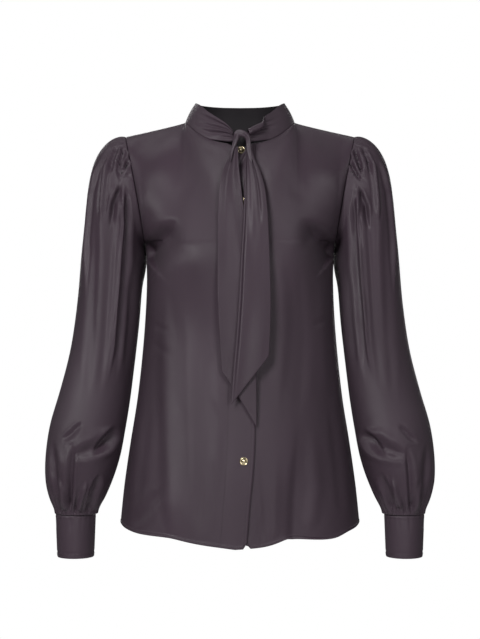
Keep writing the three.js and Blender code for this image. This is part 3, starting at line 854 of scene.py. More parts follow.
@dataclass
class Bodice:
    """The two fronts and the back, from the hem to the neckline and armholes."""

    form: BodyForm
    cloth: float = 0.9
    body_rows: int = 146
    chest_rows: int = 74
    front_columns: int = 96
    back_columns: int = 172
    lap: float = 0.055
    lap_fade: float = 0.3
    lap_step: float = 2.5
    hem_turn: float = 0.1
    fold_share: float = 0.66
    notch: tuple = (10.4, 2.0, 11.0)
    lap_slant: float = 0.42
    hang: tuple = (-272.0, 50.0, 4.5)
    hem_waves: tuple = (
        (-150, 0.0), (-118, 3.5), (-100, 5.0), (-83, 3.0), (-60, 1.0), (0, -1.0), (36, -1.0), (55, 2.5),
        (70, 9.0), (80, 9.0), (100, 3.0), (124, -2.5), (141, -4.0), (160, 0.0),
    )
    slant_level: float = 2.6
    wave_level: float = 1.6
    notch_level: float = 0.5
    ease_rows: float = 12.0
    ease_columns: float = 8.0
    seam_gap: float = 0.15
    hem_thick: float = 0.3
    edge_roll: float = 0.3
    hem_roll: float = 0.35
    outer: dict = field(default_factory=dict)

    def levels(self) -> np.ndarray:
        """Levels of a panel's rows, closer at the hem and the neckline.

        Returns:
            The levels.
        """
        low = np.linspace(0.0, UNDERARM, self.body_rows + 1)
        share = np.linspace(0.0, 1.0, self.chest_rows + 1)
        high = UNDERARM + blend(share, (1.0 - np.cos(share * math.pi)) / 2.0, 0.3)
        hem = np.array([0.012, self.hem_turn - 0.012, self.hem_turn + 0.006])
        return np.unique(np.concatenate([low, hem, high, [UNDERARM + 0.9992]]))

    def panel(self, face: Face, columns: np.ndarray, creases: tuple, tucked: bool) -> np.ndarray:
        """Outer face of one panel with its folds.

        Args:
            face: Front or back.
            columns: Columns from right to left, or left to right on the back.
            creases: Its folds.
            tucked: Whether it lies under the other front.

        Returns:
            Rows of points.
        """
        column, level = np.meshgrid(columns, self.levels())
        grid = self.form.point(face, column, level)
        if tucked:
            grid[..., 1] += self.lap_step * (1.0 - smooth(column, self.lap, self.lap_fade))
        if face is Face.FRONT and not tucked:
            slant = self.lap_slant * (1.0 - smooth(level, 0.0, self.slant_level)) * (grid[..., 0] > 0.0)
            grid[..., 0] *= 1.0 - slant
        if face is Face.FRONT:
            waves = np.array(self.hem_waves)
            lift = eased(np.interp(grid[..., 0], waves[:, 0], waves[:, 1]), 1, 4.0)
            grid[..., 2] += lift * (1.0 - smooth(level, 0.0, self.wave_level))
            middle, width, height = self.notch
            corner = height * np.exp(-((grid[..., 0] - middle) / width) ** 2)
            grid[..., 2] += corner * (1.0 - smooth(level, 0.0, self.notch_level))
        inside = 1.0 - smooth(np.abs(column), 0.86, 0.99)
        inside *= 1.0 - smooth(level, TOP - 0.18, TOP - 0.01)
        if face is Face.FRONT:
            middle, spread, forward = self.hang
            grid[..., 1] -= forward * np.exp(-((grid[..., 2] - middle) / spread) ** 2) * inside
        for axis in (0, 1):
            soft = eased(eased(grid[..., axis], 1, self.ease_columns), 0, self.ease_rows)
            grid[..., axis] += (soft - grid[..., axis]) * inside
        seam = (np.abs(column) == 1.0) & (level <= UNDERARM)
        shoulder = (level == TOP) & (np.abs(column) >= HIGH_POINT)
        grid[..., 1] += face.value * self.seam_gap * (seam | shoulder)
        calm = (1.0 - smooth(np.abs(column), 0.93, 1.0)) * (1.0 - smooth(level, TOP - 0.25, TOP))
        depth = self.fold_share * crease_depth(creases, grid[..., 0], grid[..., 2]) * calm
        depth -= self.hem_thick * (level < self.hem_turn)
        sides = "tlr" if face is Face.BACK else ("tr" if tucked else "tl")
        roll = seam_roll(depth.shape, sides, self.edge_roll)
        roll[0] += self.hem_roll
        return pushed_in(grid, depth + roll)

    def build(self, satin: TwoSidedCloth) -> None:
        """Make the three panels.

        Args:
            satin: Their finish.
        """
        half = edged(np.linspace(-self.lap, 1.0, self.front_columns), 0.006)
        back = edged(np.linspace(1.0, -1.0, self.back_columns), -0.006)
        plans = (
            ("front_right", (0.245, 0.625), 0.142, Face.FRONT, -half[::-1], RIGHT_FRONT_CREASES, False),
            ("front_left", (0.245, 0.625), 0.142, Face.FRONT, half, LEFT_FRONT_CREASES, True),
            ("back", (0.46, 0.66), 0.243, Face.BACK, back, BACK_CREASES, False),
        )
        for node, flat, area, face, columns, creases, tucked in plans:
            self.outer[node] = self.panel(face, columns, creases, tucked)
            ClothPiece(node, flat, area, "hung").make(self.outer[node], self.cloth, satin)


# Folds of both sleeves' front and back halves, with x counted outwards; the left sleeve varies them
SLEEVE_FRONT_CREASES = tuple(Crease(*row) for row in (
    ((172, -40, 178, -60, 182, -86), 2.6, 4.6, 0.3, 0.1, 0.3),
    ((163, -60, 171, -73, 180, -88), 2.4, 4.2, -0.3, 0.1, 0.3),
    ((174, -94, 186, -124, 192, -162), 4.2, 5, 0.3, 0.2, 0.5),
    ((183, -36, 190, -58, 193, -84), 2.6, 3, 0.2, 0.1, 0.4),
    ((166, -44, 170, -52, 173, -62), 2.2, 2.6, -0.2, 0.2, 0.3),
    ((172.6, -92, 173.6, -130, 172.6, -156, 176.7, -197, 179, -238, 183, -280, 187, -340, 195, -391),
     2.2, -2.9, 0.35, 0.08, 0.3),
    ((166, -96, 166, -150, 168, -215, 174, -300, 184, -390), 5, 2, -0.2, 0.2, 0.3),
    ((193, -51, 199, -69, 202.4, -105, 205.5, -155), 2.8, -2.9, 0.2, 0.2, 0.3),
    ((205, -51, 215, -80, 222, -109, 225, -146, 227.5, -178, 228, -216, 229, -272), 2.6, -2.6, 0, 0.15,
     0.4),
    ((184, -112, 190, -200, 196, -300, 206, -410), 7.5, 2.2, -0.3, 0.15, 0.3),
    ((212, -120, 215, -230, 218, -330, 226, -420), 7, 1.6, 0, 0.3, 0.3),
    ((160, -210, 163, -290, 170, -380), 6, 1.8, 0.2, 0.3, 0.4),
    ((231, -444, 246, -460, 262, -474), 4, 1.8, 0.3),
    ((182, -452, 198, -476, 216, -496), 6, 4.2, 0.2, 0.3, 0.4),
    ((252, -497, 214, -484, 178, -462), 8, 3, 0, 0.4, 0.3),
    ((243, -476, 247, -520, 251, -576), 4, 3.4, -0.2, 0.3, 0.1),
    ((223, -528, 230, -552, 238, -578), 4, -2.6, 0.2, 0.4, 0.1),
    ((268, -520, 262, -550, 256, -578), 4.5, -2.4, -0.2, 0.4, 0.1),
    ((206, -520, 216, -550, 224, -576), 4, 2.8, 0.2, 0.3, 0.1),
    ((276, -470, 274, -520, 266, -566), 5, 2.6, 0.2, 0.4, 0.2),
))
SLEEVE_BACK_CREASES = tuple(Crease(*row) for row in (
    ((176, -44, 184, -64, 188, -96), 2.8, 3.2, 0.3, 0.1, 0.35),
    ((166, -66, 176, -84, 190, -98), 2.6, 2.8, -0.3, 0.1, 0.3),
    ((182, -100, 192, -134, 196, -176), 4.4, 3.6, 0.2, 0.2, 0.5),
    ((170, -104, 172, -150, 177, -220, 184, -300, 194, -380), 2.6, -2, 0.3, 0.1, 0.3),
    ((204, -60, 214, -110, 219, -180, 224, -260), 3, -2, 0.1, 0.2, 0.4),
    ((198, -190, 204, -270, 212, -350), 8, 2.4, 0, 0.3, 0.3),
    ((164, -330, 190, -352, 212, -356), 6, 2.4, 0.3, 0.2, 0.5),
    ((168, -372, 194, -388, 222, -386), 5.5, 2, -0.3, 0.2, 0.5),
    ((186, -462, 204, -492, 220, -530), 6, 3.6, 0.2, 0.3, 0.3),
    ((256, -470, 258, -520, 254, -572), 5, 3.2, -0.2, 0.3, 0.1),
    ((238, -500, 240, -576), 4, -2.6, 0, 0.4, 0.1),
    ((210, -520, 222, -574), 4, 2.6, 0.2, 0.4, 0.1),
    ((272, -500, 264, -570), 4.5, -2.4, 0, 0.4, 0.1),
))


def varied(creases: tuple, seed: int) -> tuple:
    """The folds of the other sleeve, alike but not the same.

    Args:
        creases: Folds of the first sleeve.
        seed: Fixes the changes.

    Returns:
        The changed folds.
    """
    pick = np.random.default_rng(seed)
    made = []
    for crease in creases:
        shift_x = pick.uniform(-2.0, 2.0)
        shift_z = pick.uniform(-5.0, 5.0)
        line = (np.reshape(crease.line, (-1, 2)) + (shift_x, shift_z)).ravel()
        made.append(replace(crease, line=tuple(line), depth=crease.depth * pick.uniform(0.8, 1.2)))
    return tuple(made)


@dataclass
class Sleeve:
    """One gathered sleeve, from the armhole seam to the top of the cuff."""

    form: BodyForm
    side: Side
    cloth: float = 0.9
    segments: int = 160
    rows: int = 214
    body_x: tuple = (
        145.6, 146.6, 146.4, 146.6, 146.4, 146.4, 147.6, 151, 157.5, 164.5, 172, 179.5, 190, 202, 211.5,
    )
    body_z: tuple = (
        -182.6, -186.5, -192, -200, -212, -228, -252, -300, -358, -415, -462, -501, -534, -562, -578,
    )
    far_x: tuple = (180, 198, 214, 224, 229.5, 233.5, 238, 243.5, 253.5, 269, 284, 290.5, 290, 283.5, 276.5)
    far_z: tuple = (-18.5, -27.5, -48, -77, -112, -155, -202, -268, -338, -400, -452, -500, -538, -564, -578)
    half_depth: tuple = (54, 56.5, 59, 60, 60, 60, 59, 58, 58, 60, 63, 63, 57, 47, 37)
    centre_y: tuple = (4, 4, 4, 4, 3, 2, 1, 0, -1, -3, -6, -9, -11, -13, -14)
    tuck: tuple = (2.5, 5.0, 7.5, 8.5, 8.5, 6.0, 1.0, 0, 0, 0, 0, 0, 0, 0, 0)
    end_z: float = -583.7
    fold_share: float = 1.8
    head: tuple = (21, -78.0, 78.0, 30.0, 3.0)
    head_radius: float = 56.0
    wrist: tuple = (26, 0.0, 360.0, 50.0, 3.0)
    wrist_radius: float = 38.0

    def armhole_ring(self, turn: np.ndarray) -> np.ndarray:
        """First ring, on the armhole seam.

        Args:
            turn: Radians round the sleeve.

        Returns:
            The points.
        """
        height = (1.0 + np.cos(turn)) / 2.0
        column = np.ones(turn.shape)
        front = self.form.point(Face.FRONT, column, UNDERARM + height)
        back = self.form.point(Face.BACK, column, UNDERARM + height)
        ring = np.where((np.sin(turn) >= 0.0)[:, None], front, back)
        ring[:, 0] += 0.2
        return ring

    def rings(self, turn: np.ndarray) -> np.ndarray:
        """All rings of the sleeve's table.

        Args:
            turn: Radians round the sleeve.

        Returns:
            Rows of points, from the armhole to the cuff.
        """
        rows = [self.armhole_ring(turn)]
        for index in range(len(self.body_x)):
            near = np.array([self.body_x[index], self.centre_y[index], self.body_z[index]], dtype=float)
            far = np.array([self.far_x[index], self.centre_y[index], self.far_z[index]], dtype=float)
            centre = (near + far) / 2.0
            ring = centre + np.cos(turn)[:, None] * (far - centre)
            ring[:, 1] -= self.half_depth[index] * np.sin(turn)
            behind = np.exp(-((np.degrees(turn) - 208.0) / 26.0) ** 2)
            ring[:, 0] -= self.tuck[index] * behind
            rows.append(ring)
        last = rows[-1].copy()
        last[:, 2] = self.end_z
        rows.append(last)
        return np.array(rows)

    def outer(self) -> np.ndarray:
        """Outer face with all folds and gathers.

        Returns:
            Rows of points.
        """
        turn = np.linspace(0.0, 2.0 * math.pi, self.segments, endpoint=False)
        table = self.rings(turn)
        steps = np.linalg.norm(np.diff(table, axis=0), axis=2).mean(axis=1)
        reach = np.concatenate([[0.0], np.cumsum(steps)])
        even = np.linspace(0.0, reach[-1], self.rows + 1)
        places = edged(np.interp(even, reach, np.arange(len(table), dtype=float)), 0.02)
        grid = along_table(table, places)
        grid = np.stack([eased(grid[..., index], 0, 4.0) for index in range(3)], axis=-1)
        left = self.side is Side.LEFT
        front = varied(SLEEVE_FRONT_CREASES, 11) if left else SLEEVE_FRONT_CREASES
        back = varied(SLEEVE_BACK_CREASES, 23) if left else SLEEVE_BACK_CREASES
        normals = surface_normals(grid, True)
        x, z = grid[..., 0], grid[..., 2]
        depth = crease_depth(front, x, z) * smooth(-normals[..., 1], -0.1, 0.3)
        depth += crease_depth(back, x, z) * smooth(normals[..., 1], -0.1, 0.3)
        depth *= self.fold_share
        steps = np.linalg.norm(np.diff(grid, axis=0), axis=2)
        run = np.concatenate([np.zeros((1, self.segments)), np.cumsum(steps, axis=0)])
        degrees = np.broadcast_to(np.degrees(turn), run.shape)
        seed = 5 if left else 7
        for gather in uneven_gathers(seed, *self.head):
            depth += gather.at(degrees, run, self.head_radius)
        for gather in uneven_gathers(seed + 40, *self.wrist):
            depth += gather.at(degrees, run[-1] - run, self.wrist_radius)
        depth += seam_roll(depth.shape, "bt", 0.35)
        return on_side(self.side, pushed_in(grid, depth, True))

    def build(self, satin: TwoSidedCloth) -> None:
        """Make the sleeve.

        Args:
            satin: Its finish.
        """
        cloth = ClothPiece("sleeve_" + self.side.value, (0.41, 0.56), 0.172, "hung")
        cloth.make(self.outer(), self.cloth, satin, True)


@dataclass(frozen=True)
class BandPleat:
    """One pleat that runs along the neck band into the knot.

    Attributes:
        line: Corners as (turn, share), where turn counts from the knot and share up the band.
        width: Half width as a share of the band.
        depth: How far it goes in, or out where it is less than 0.
    """

    line: tuple
    width: float
    depth: float

    def at(self, turn: np.ndarray, share: np.ndarray) -> np.ndarray:
        """Depth of the pleat.

        Args:
            turn: Degrees from the knot.
            share: Height on the band, 0 to 1.

        Returns:
            How far the cloth goes in.
        """
        turns, shares = np.array(self.line, dtype=float).T
        middle = np.interp(turn, turns, shares)
        fade = 1.0 - smooth(turn, turns[-1] * 0.45, turns[-1])
        return self.depth * fade * np.exp(-((share - middle) / self.width) ** 2)


BAND_PLEATS_RIGHT = tuple(BandPleat(*row) for row in (
    (((0, 0.72), (16, 0.66), (40, 0.50), (62, 0.30)), 0.075, 1.7),
    (((0, 0.50), (14, 0.44), (34, 0.26), (50, 0.16)), 0.07, 1.5),
    (((0, 0.60), (16, 0.55), (38, 0.38), (56, 0.22)), 0.06, -1.1),
    (((0, 0.30), (12, 0.26), (26, 0.14)), 0.07, 1.3),
    (((0, 0.86), (20, 0.82), (48, 0.74), (80, 0.62)), 0.07, 1.1),
    (((0, 0.95), (20, 0.92), (60, 0.86)), 0.05, -0.8),
))
BAND_PLEATS_LEFT = tuple(BandPleat(*row) for row in (
    (((0, 0.66), (14, 0.62), (30, 0.52), (48, 0.40)), 0.075, 2.0),
    (((0, 0.42), (12, 0.36), (28, 0.24)), 0.07, 1.4),
    (((0, 0.54), (14, 0.50), (32, 0.38)), 0.06, -1.2),
    (((0, 0.82), (12, 0.78), (30, 0.72), (56, 0.62)), 0.07, 1.2),
    (((0, 0.24), (10, 0.20), (22, 0.12)), 0.06, 1.0),
))


@dataclass
class NeckBand:
    """The strip round the neck, which narrows and pleats into the knot at both ends."""

    form: BodyForm
    cloth: float = 0.9
    bulge: float = 1.5
    rows: int = 44
    columns: int = 108
    seat: float = 0.5
    crowding: float = 1.7
    low_roll: float = 0.7
    roll_place: tuple = (14.0, 6.0, 19.0)
    roll_start: float = 0.66
    roll_radius: float = 4.4
    roll_turn: float = 4.9
    face_out: float = -62.0
    pleat_share: float = 1.4
    turns: tuple = (0, 10, 19, 30, 45, 62, 85, 105, 130, 155, 180)
    top_x: tuple = (11, 17.5, 24, 36, 47, 58, 66, 65, 51, 28, 0)
    top_y: tuple = (-92, -87.5, -81, -68, -53, -34, -6, 16, 40, 54.2, 57)
    top_z: tuple = (-20, -12.5, -6.5, 2.5, 11, 22, 28.5, 29, 29, 28.7, 28.5)
    arm: tuple = ((10.5, -94.0, -36.5), (15.5, -89.5, -37.0))
    arm_turns: tuple = (0.0, 8.0)

    def low_edge(self) -> tuple:
        """Lower edge of one half, from the knot to the centre back.

        Returns:
            The turn of each point, and the points.
        """
        front = self.form.point(Face.FRONT, np.linspace(0.12, HIGH_POINT, 40), np.full(40, TOP))
        back = self.form.point(Face.BACK, np.linspace(HIGH_POINT, 0.0, 60)[1:], np.full(59, TOP))
        seated = np.concatenate([front, back])
        seated[:, 2] -= self.seat
        turns = np.degrees(np.arctan2(seated[:, 0], -seated[:, 1]))
        points = np.concatenate([np.array(self.arm), seated])
        turns = np.concatenate([np.array(self.arm_turns), turns])
        reach = lengths(points)
        even = np.linspace(0.0, reach[-1], self.columns)
        return np.interp(even, reach, turns), along_line(even, reach, points)

    def outer(self) -> np.ndarray:
        """Outer face with its pleats and the curl beside the knot.

        Returns:
            Rows of points, from the left end round the back to the right end.
        """
        turn, low = self.low_edge()
        place = place_of(np.array(self.turns, dtype=float), turn)
        tops = np.array([self.top_x, self.top_y, self.top_z], dtype=float).T
        high = along_table(tops, place)
        flip = np.array([-1.0, 1.0, 1.0])
        low = np.concatenate([low, low[-2::-1] * flip])
        high = np.concatenate([high, high[-2::-1] * flip])
        on_left = np.concatenate([np.ones(len(turn), bool), np.zeros(len(turn) - 1, bool)])
        turn = np.concatenate([turn, turn[-2::-1]])
        shares = edged(1.0 - np.linspace(1.0, 0.0, self.rows) ** self.crowding, 0.004)
        share = shares[:, None]
        grid = blend(low[None], high[None], share[..., None])
        out = low.copy()
        out[:, 2] = 0.0
        out /= np.linalg.norm(out, axis=1, keepdims=True)
        grid += out[None] * (self.bulge * np.sin(math.pi * share))[..., None]
        turn = np.broadcast_to(turn, grid.shape[:2])
        share = np.broadcast_to(share, grid.shape[:2])
        depth = np.zeros(grid.shape[:2])
        for pleats, here in ((BAND_PLEATS_LEFT, on_left), (BAND_PLEATS_RIGHT, ~on_left)):
            for pleat in pleats:
                depth += self.pleat_share * pleat.at(turn, share) * here
        middle, full, none = self.roll_place
        near = (1.0 - smooth(np.abs(turn[0] - middle), full, none)) * on_left
        depth += seam_roll(depth.shape, "b", self.low_roll)
        return self.rolled(pushed_in(grid, depth), shares, out, high - low, near)

    def rolled(self, grid: np.ndarray, shares: np.ndarray, out: np.ndarray, up: np.ndarray,
               near: np.ndarray) -> np.ndarray:
        """The band with its upper edge rolled forward beside the knot.

        Args:
            grid: Rows of points.
            shares: Height of each row on the band, 0 to 1.
            out: The way out at each column.
            up: The way up at each column.
            near: How much of the roll each column has, 0 to 1.

        Returns:
            The rolled grid.
        """
        first = int(np.searchsorted(shares, self.roll_start))
        share = ((shares[first:] - shares[first]) / (1.0 - shares[first]))[:, None]
        angle = self.roll_turn * near[None] * share
        up = up / np.linalg.norm(up, axis=1, keepdims=True)
        size = self.roll_radius
        roll = (size * np.sin(angle))[..., None] * up[None]
        roll += (size * (1.0 - np.cos(angle)))[..., None] * out[None]
        start = grid[first:first + 1]
        plain = grid[first:] - start
        made = grid.copy()
        made[first:] = start + plain * (1.0 - near[None, :, None]) + roll * near[None, :, None] ** 0.5
        return made

    def build(self, satin: TwoSidedCloth) -> None:
        """Make the band.

        Args:
            satin: Its finish.
        """
        cloth = ClothPiece("collar", (0.43, 0.045), 0.0155, name="neck_band")
        # Faces forward of face_out take the smooth side's finish; the rest of the inner side keeps the wrong
        # side's dark colour, painted shade inside the collar.
        for face in cloth.make(self.outer(), self.cloth, satin).data.polygons:
            if face.center.y < self.face_out * MM:
                face.material_index = 0


@dataclass
class NeckStands:
    """Two short stands behind the knot, the right one lapped over the left, for the top button.

    Their upper part, above a set height, takes the dark wrong-side finish as painted shade in the hollow
    under the knot's arch.
    """

    cloth: float = 0.9
    reach: float = 20.0
    lap: float = 9.0
    low_z: float = -63.0
    top_z: float = -27.0
    painted_shade_z: float = -43.5
    columns: int = 26
    rows: int = 28
    low_depth: float = 85.8
    top_depth: float = 73.4
    inset: float = 2.1

    def outer(self, start: float, end: float, inset: float) -> np.ndarray:
        """Outer face of one stand.

        Args:
            start: First x.
            end: Last x.
            inset: How far it lies behind the other.

        Returns:
            Rows of points.
        """
        across = edged(np.linspace(start, end, self.columns), 0.6)
        share = edged(np.linspace(0.0, 1.0, self.rows), 0.02)[:, None]
        bend = (1.0 - (np.abs(across) / NECK_HALF_WIDTH) ** ROUNDNESS) ** (1.0 / ROUNDNESS)
        y = -(blend(self.low_depth, self.top_depth, share) - inset) * bend[None]
        x = np.broadcast_to(across, y.shape)
        z = np.broadcast_to(blend(self.low_z, self.top_z, share), y.shape)
        grid = np.stack([x, y, z], axis=-1)
        depth = seam_roll(y.shape, "btlr", 0.4)
        depth += 0.25 * np.sin(x * 0.9 + z * 0.35) * smooth(share, 0.0, 0.4)
        return pushed_in(grid, depth)

    def build(self, satin: TwoSidedCloth) -> None:
        """Make both stands.

        Args:
            satin: Their finish.
        """
        plans = (
            ("collar_stand_right", -self.reach, self.lap, 0.0),
            ("collar_stand_left", -self.lap, self.reach, self.inset),
        )
        for node, start, end, inset in plans:
            cloth = ClothPiece(node, (0.0295, 0.0385), 0.00113)
            for face in cloth.make(self.outer(start, end, inset), self.cloth, satin).data.polygons:
                # Painted shade: faces above the set height take the dark wrong-side finish.
                if face.center.z > self.painted_shade_z * MM:
                    face.material_index = 1


@dataclass
class Cuff:
    """One cuff, whose end laps over its start at the back of the wrist."""

    side: Side
    cloth: float = 1.3
    top_z: float = -584.0
    bottom_z: float = -648.0
    centre: tuple = (245.0, -14.0)
    top_half_width: float = 30.0
    bottom_half_width: float = 27.5
    half_depth: float = 35.0
    start: float = 262.0
    lap_turn: float = 24.0
    rise: float = 30.0
    lap_lift: float = 2.1
    columns: int = 132
    rows: int = 26
    pulls: tuple = (61, 21, 0.0, 360.0, 20.0, 0.75)
    pull_radius: float = 34.0
    ridge: tuple = (0.5, 0.88, 0.02)

    def at(self, turn: np.ndarray, share: np.ndarray) -> np.ndarray:
        """Points of the cuff's smooth form.

        Args:
            turn: Degrees round the wrist.
            share: 0 at the top, 1 at the lower edge.

        Returns:
            The points.
        """
        half_width = blend(self.top_half_width, self.bottom_half_width, share)
        climb = self.lap_lift * smooth(turn, self.start + 360 - self.rise, self.start + 358)
        angle = np.radians(turn)
        x = self.centre[0] + (half_width + climb) * np.cos(angle)
        y = self.centre[1] - (self.half_depth + climb) * np.sin(angle)
        z = np.broadcast_to(blend(self.top_z, self.bottom_z, share), x.shape)
        return np.stack([x, y, z], axis=-1)

    def outer(self) -> np.ndarray:
        """Outer face with the slight pulls off its seams.

        Returns:
            Rows of points.
        """
        turns = edged(np.linspace(self.start, self.start + 360 + self.lap_turn, self.columns), 0.8)
        shares = edged(np.linspace(0.0, 1.0, self.rows), 0.014)
        turn, share = np.meshgrid(turns, shares)
        grid = self.at(turn, share)
        run = share * (self.top_z - self.bottom_z)
        rise, middle, width = self.ridge
        depth = rise * np.exp(-((share - middle) / width) ** 2)
        for pull in uneven_gathers(*self.pulls):
            depth += pull.at(turn % 360.0, run, self.pull_radius)
        depth += seam_roll(depth.shape, "btlr", 0.7)
        return on_side(self.side, pushed_in(grid, depth))

    def build(self, satin: TwoSidedCloth) -> None:
        """Make the cuff.

        Args:
            satin: Its finish.
        """
        ClothPiece("cuff_" + self.side.value, (0.213, 0.064), 0.0135).make(self.outer(), self.cloth, satin)


@dataclass
class TieTail:
    """One long end of the tie, cut to a slanted point and folded along its length.

    Attributes:
        node: CAD node that it stands for.
        sections: Rows of (z, low x, high x, y, fold).
        cuts: Height of the slanted cut at the low-x and the high-x edge.
        creases: Sharp folds along it, as (share at top, share at foot, width, depth, reach).
        waves: Folds across its width.
        cloth: Its thickness.
        columns: Points across.
        rows: Points along.
    """

    node: str
    sections: tuple
    cuts: tuple
    creases: tuple
    waves: float = 1.0
    cloth: float = 1.1
    columns: int = 46
    rows: int = 172

    def outer(self) -> np.ndarray:
        """Front face of the tail.

        Returns:
            Rows of points, from the cut up to the knot.
        """
        sections = np.array(self.sections, dtype=float)
        across, down = np.meshgrid(edged(np.linspace(0.0, 1.0, self.columns), 0.012),
                                   edged(np.linspace(1.0, 0.0, self.rows), -0.002))
        top_z = sections[0, 0]
        z = blend(top_z, blend(self.cuts[0], self.cuts[1], across), down)
        place = place_of(sections[:, 0], z)
        left, right, y, fold = (along_table(sections[:, index], place) for index in (1, 2, 3, 4))
        y = eased(y, 0, 8.0) + np.sin(2.0 * math.pi * self.waves * across) * eased(fold, 0, 8.0)
        grid = np.stack([eased(blend(left, right, across), 0, 4.0), y, z], axis=-1)
        depth = np.zeros(z.shape)
        run = top_z - z
        for high, foot, width, deep, reach in self.creases:
            middle = blend(high, foot, np.clip(run / reach, 0.0, 1.0))
            fade = 1.0 - smooth(run, reach * 0.55, reach)
            depth += deep * fade * np.exp(-((across - middle) / width) ** 2)
        depth += 0.35 * np.sin(run * 0.031 + across * 2.0) * np.sin(math.pi * across)
        depth += seam_roll(depth.shape, "blr", 0.6)
        return pushed_in(grid, depth)

    def build(self, satin: TwoSidedCloth, flat: tuple, area: float) -> None:
        """Make the tail.

        Args:
            satin: Its finish.
            flat: Width and length of its cut.
            area: Area of its cut.
        """
        ClothPiece(self.node, flat, area, "hung").make(self.outer(), self.cloth, satin)


@dataclass
class TieKnot:
    """The arch of folded cloth that both ends of the tie come out of."""

    path: tuple = (
        (-13.5, -107.0, -68.0), (-11.6, -102.4, -54.0), (-8.8, -100.0, -44.5), (-5.4, -99.2, -34.5),
        (-2.6, -99.8, -27.0), (4.6, -100.8, -27.2), (10.2, -100.8, -31.5), (12.0, -100.8, -38.5),
        (12.8, -102.0, -47.0), (14.6, -104.6, -57.0), (17.0, -108.8, -70.0),
    )
    half_width: tuple = (0.5, 2.0, 2.8, 3.8, 5.2, 4.7, 4.0, 3.5, 3.4, 2.8, 0.5)
    half_depth: tuple = (0.5, 1.6, 2.8, 3.8, 4.2, 4.2, 3.9, 3.3, 2.6, 1.6, 0.4)
    steps: int = 96
    sides: int = 56
    twist: float = 1.6
    ridges: tuple = (0.13, 0.06)
    thread_step: tuple = (0.0005, 0.0006)

    def outer(self) -> np.ndarray:
        """Surface of the arch, with the folds of the cloth turning along it.

        Returns:
            Rows of points, round each row.
        """
        corners = np.array(self.path)
        place = np.linspace(0.0, len(corners) - 1.0, self.steps)
        spine = along_table(corners, place)
        way = np.gradient(spine, axis=0)
        way /= np.linalg.norm(way, axis=1, keepdims=True)
        ahead = np.array([0.0, -1.0, 0.0])
        side = np.cross(way, ahead)
        side /= np.linalg.norm(side, axis=1, keepdims=True)
        front = np.cross(side, way)
        turn = np.linspace(0.0, 2.0 * math.pi, self.sides, endpoint=False)
        share = np.linspace(0.0, 1.0, self.steps)[:, None]
        twist = turn[None] + self.twist * share
        broad, fine = self.ridges
        radius = 1.0 + broad * np.cos(3.0 * twist + 1.1) + fine * np.cos(5.0 * twist + 3.0 * share)
        half_width = along_table(np.array(self.half_width), place)[:, None]
        half_depth = along_table(np.array(self.half_depth), place)[:, None]
        wide = (half_width * radius * np.cos(turn))[..., None] * side[:, None]
        deep = (half_depth * radius * np.sin(turn))[..., None] * front[:, None]
        grid = spine[:, None] + wide + deep
        first = spine[0] + (grid[0] - spine[0]) * 0.03
        last = spine[-1] + (grid[-1] - spine[-1]) * 0.03
        return np.concatenate([first[None], grid, last[None]])

    def build(self, satin: TwoSidedCloth) -> None:
        """Make the knot.

        Args:
            satin: Its finish.
        """
        grid = self.outer()
        quads, rows, columns = grid_quads(*grid.shape[:2], True)
        uv = np.stack([columns * self.thread_step[0], rows * self.thread_step[1]], axis=-1)
        piece = new_piece("satin_tie_knot", grid.reshape(-1, 3), quads[:, ::-1], uv[:, ::-1].reshape(-1, 2))
        ClothPiece("tie_knot", (0.0135, 0.088), 0.00112).finish(piece, satin)


UNDER_TAIL_SECTIONS = (
    (-46.8, -11.5, -3, -98.5, 0.6), (-62, -17.5, -2.5, -104, 1.3), (-82, -25.5, -0.5, -112, 1.5),
    (-105, -29.5, 2.4, -120.5, 1.4), (-124, -30.8, 4.2, -125.5, 1.2), (-145, -31.5, 9, -130, 1.0),
    (-205, -31.8, 18, -135.5, 0.8), (-270, -31.5, 22.5, -133, 0.7), (-450, -22, 24, -127.5, 0.4),
)
OVER_TAIL_SECTIONS = (
    (-46.8, 9, 17, -99.5, 0.6), (-62, 8.3, 21, -106.5, 1.5), (-82, 6.9, 29.5, -115, 1.7),
    (-105, 6.2, 36, -122.5, 1.5), (-145, 5, 40, -134, 1.1), (-205, 1.5, 42.5, -140, 0.9),
    (-288, -3, 44, -137.5, 0.8), (-417, -12.5, 38, -134, 0.6),
)
UNDER_TAIL_FOLDS = (
    (0.34, 0.22, 0.10, 1.3, 190.0), (0.62, 0.60, 0.14, -1.6, 230.0), (0.95, 0.95, 0.03, -1.0, 330.0),
)
OVER_TAIL_FOLDS = (
    (0.60, 0.70, 0.07, 3.0, 120.0), (0.34, 0.38, 0.12, -1.6, 150.0),
    (0.13, 0.09, 0.02, 1.6, 420.0), (0.05, 0.04, 0.03, -1.2, 420.0),
)


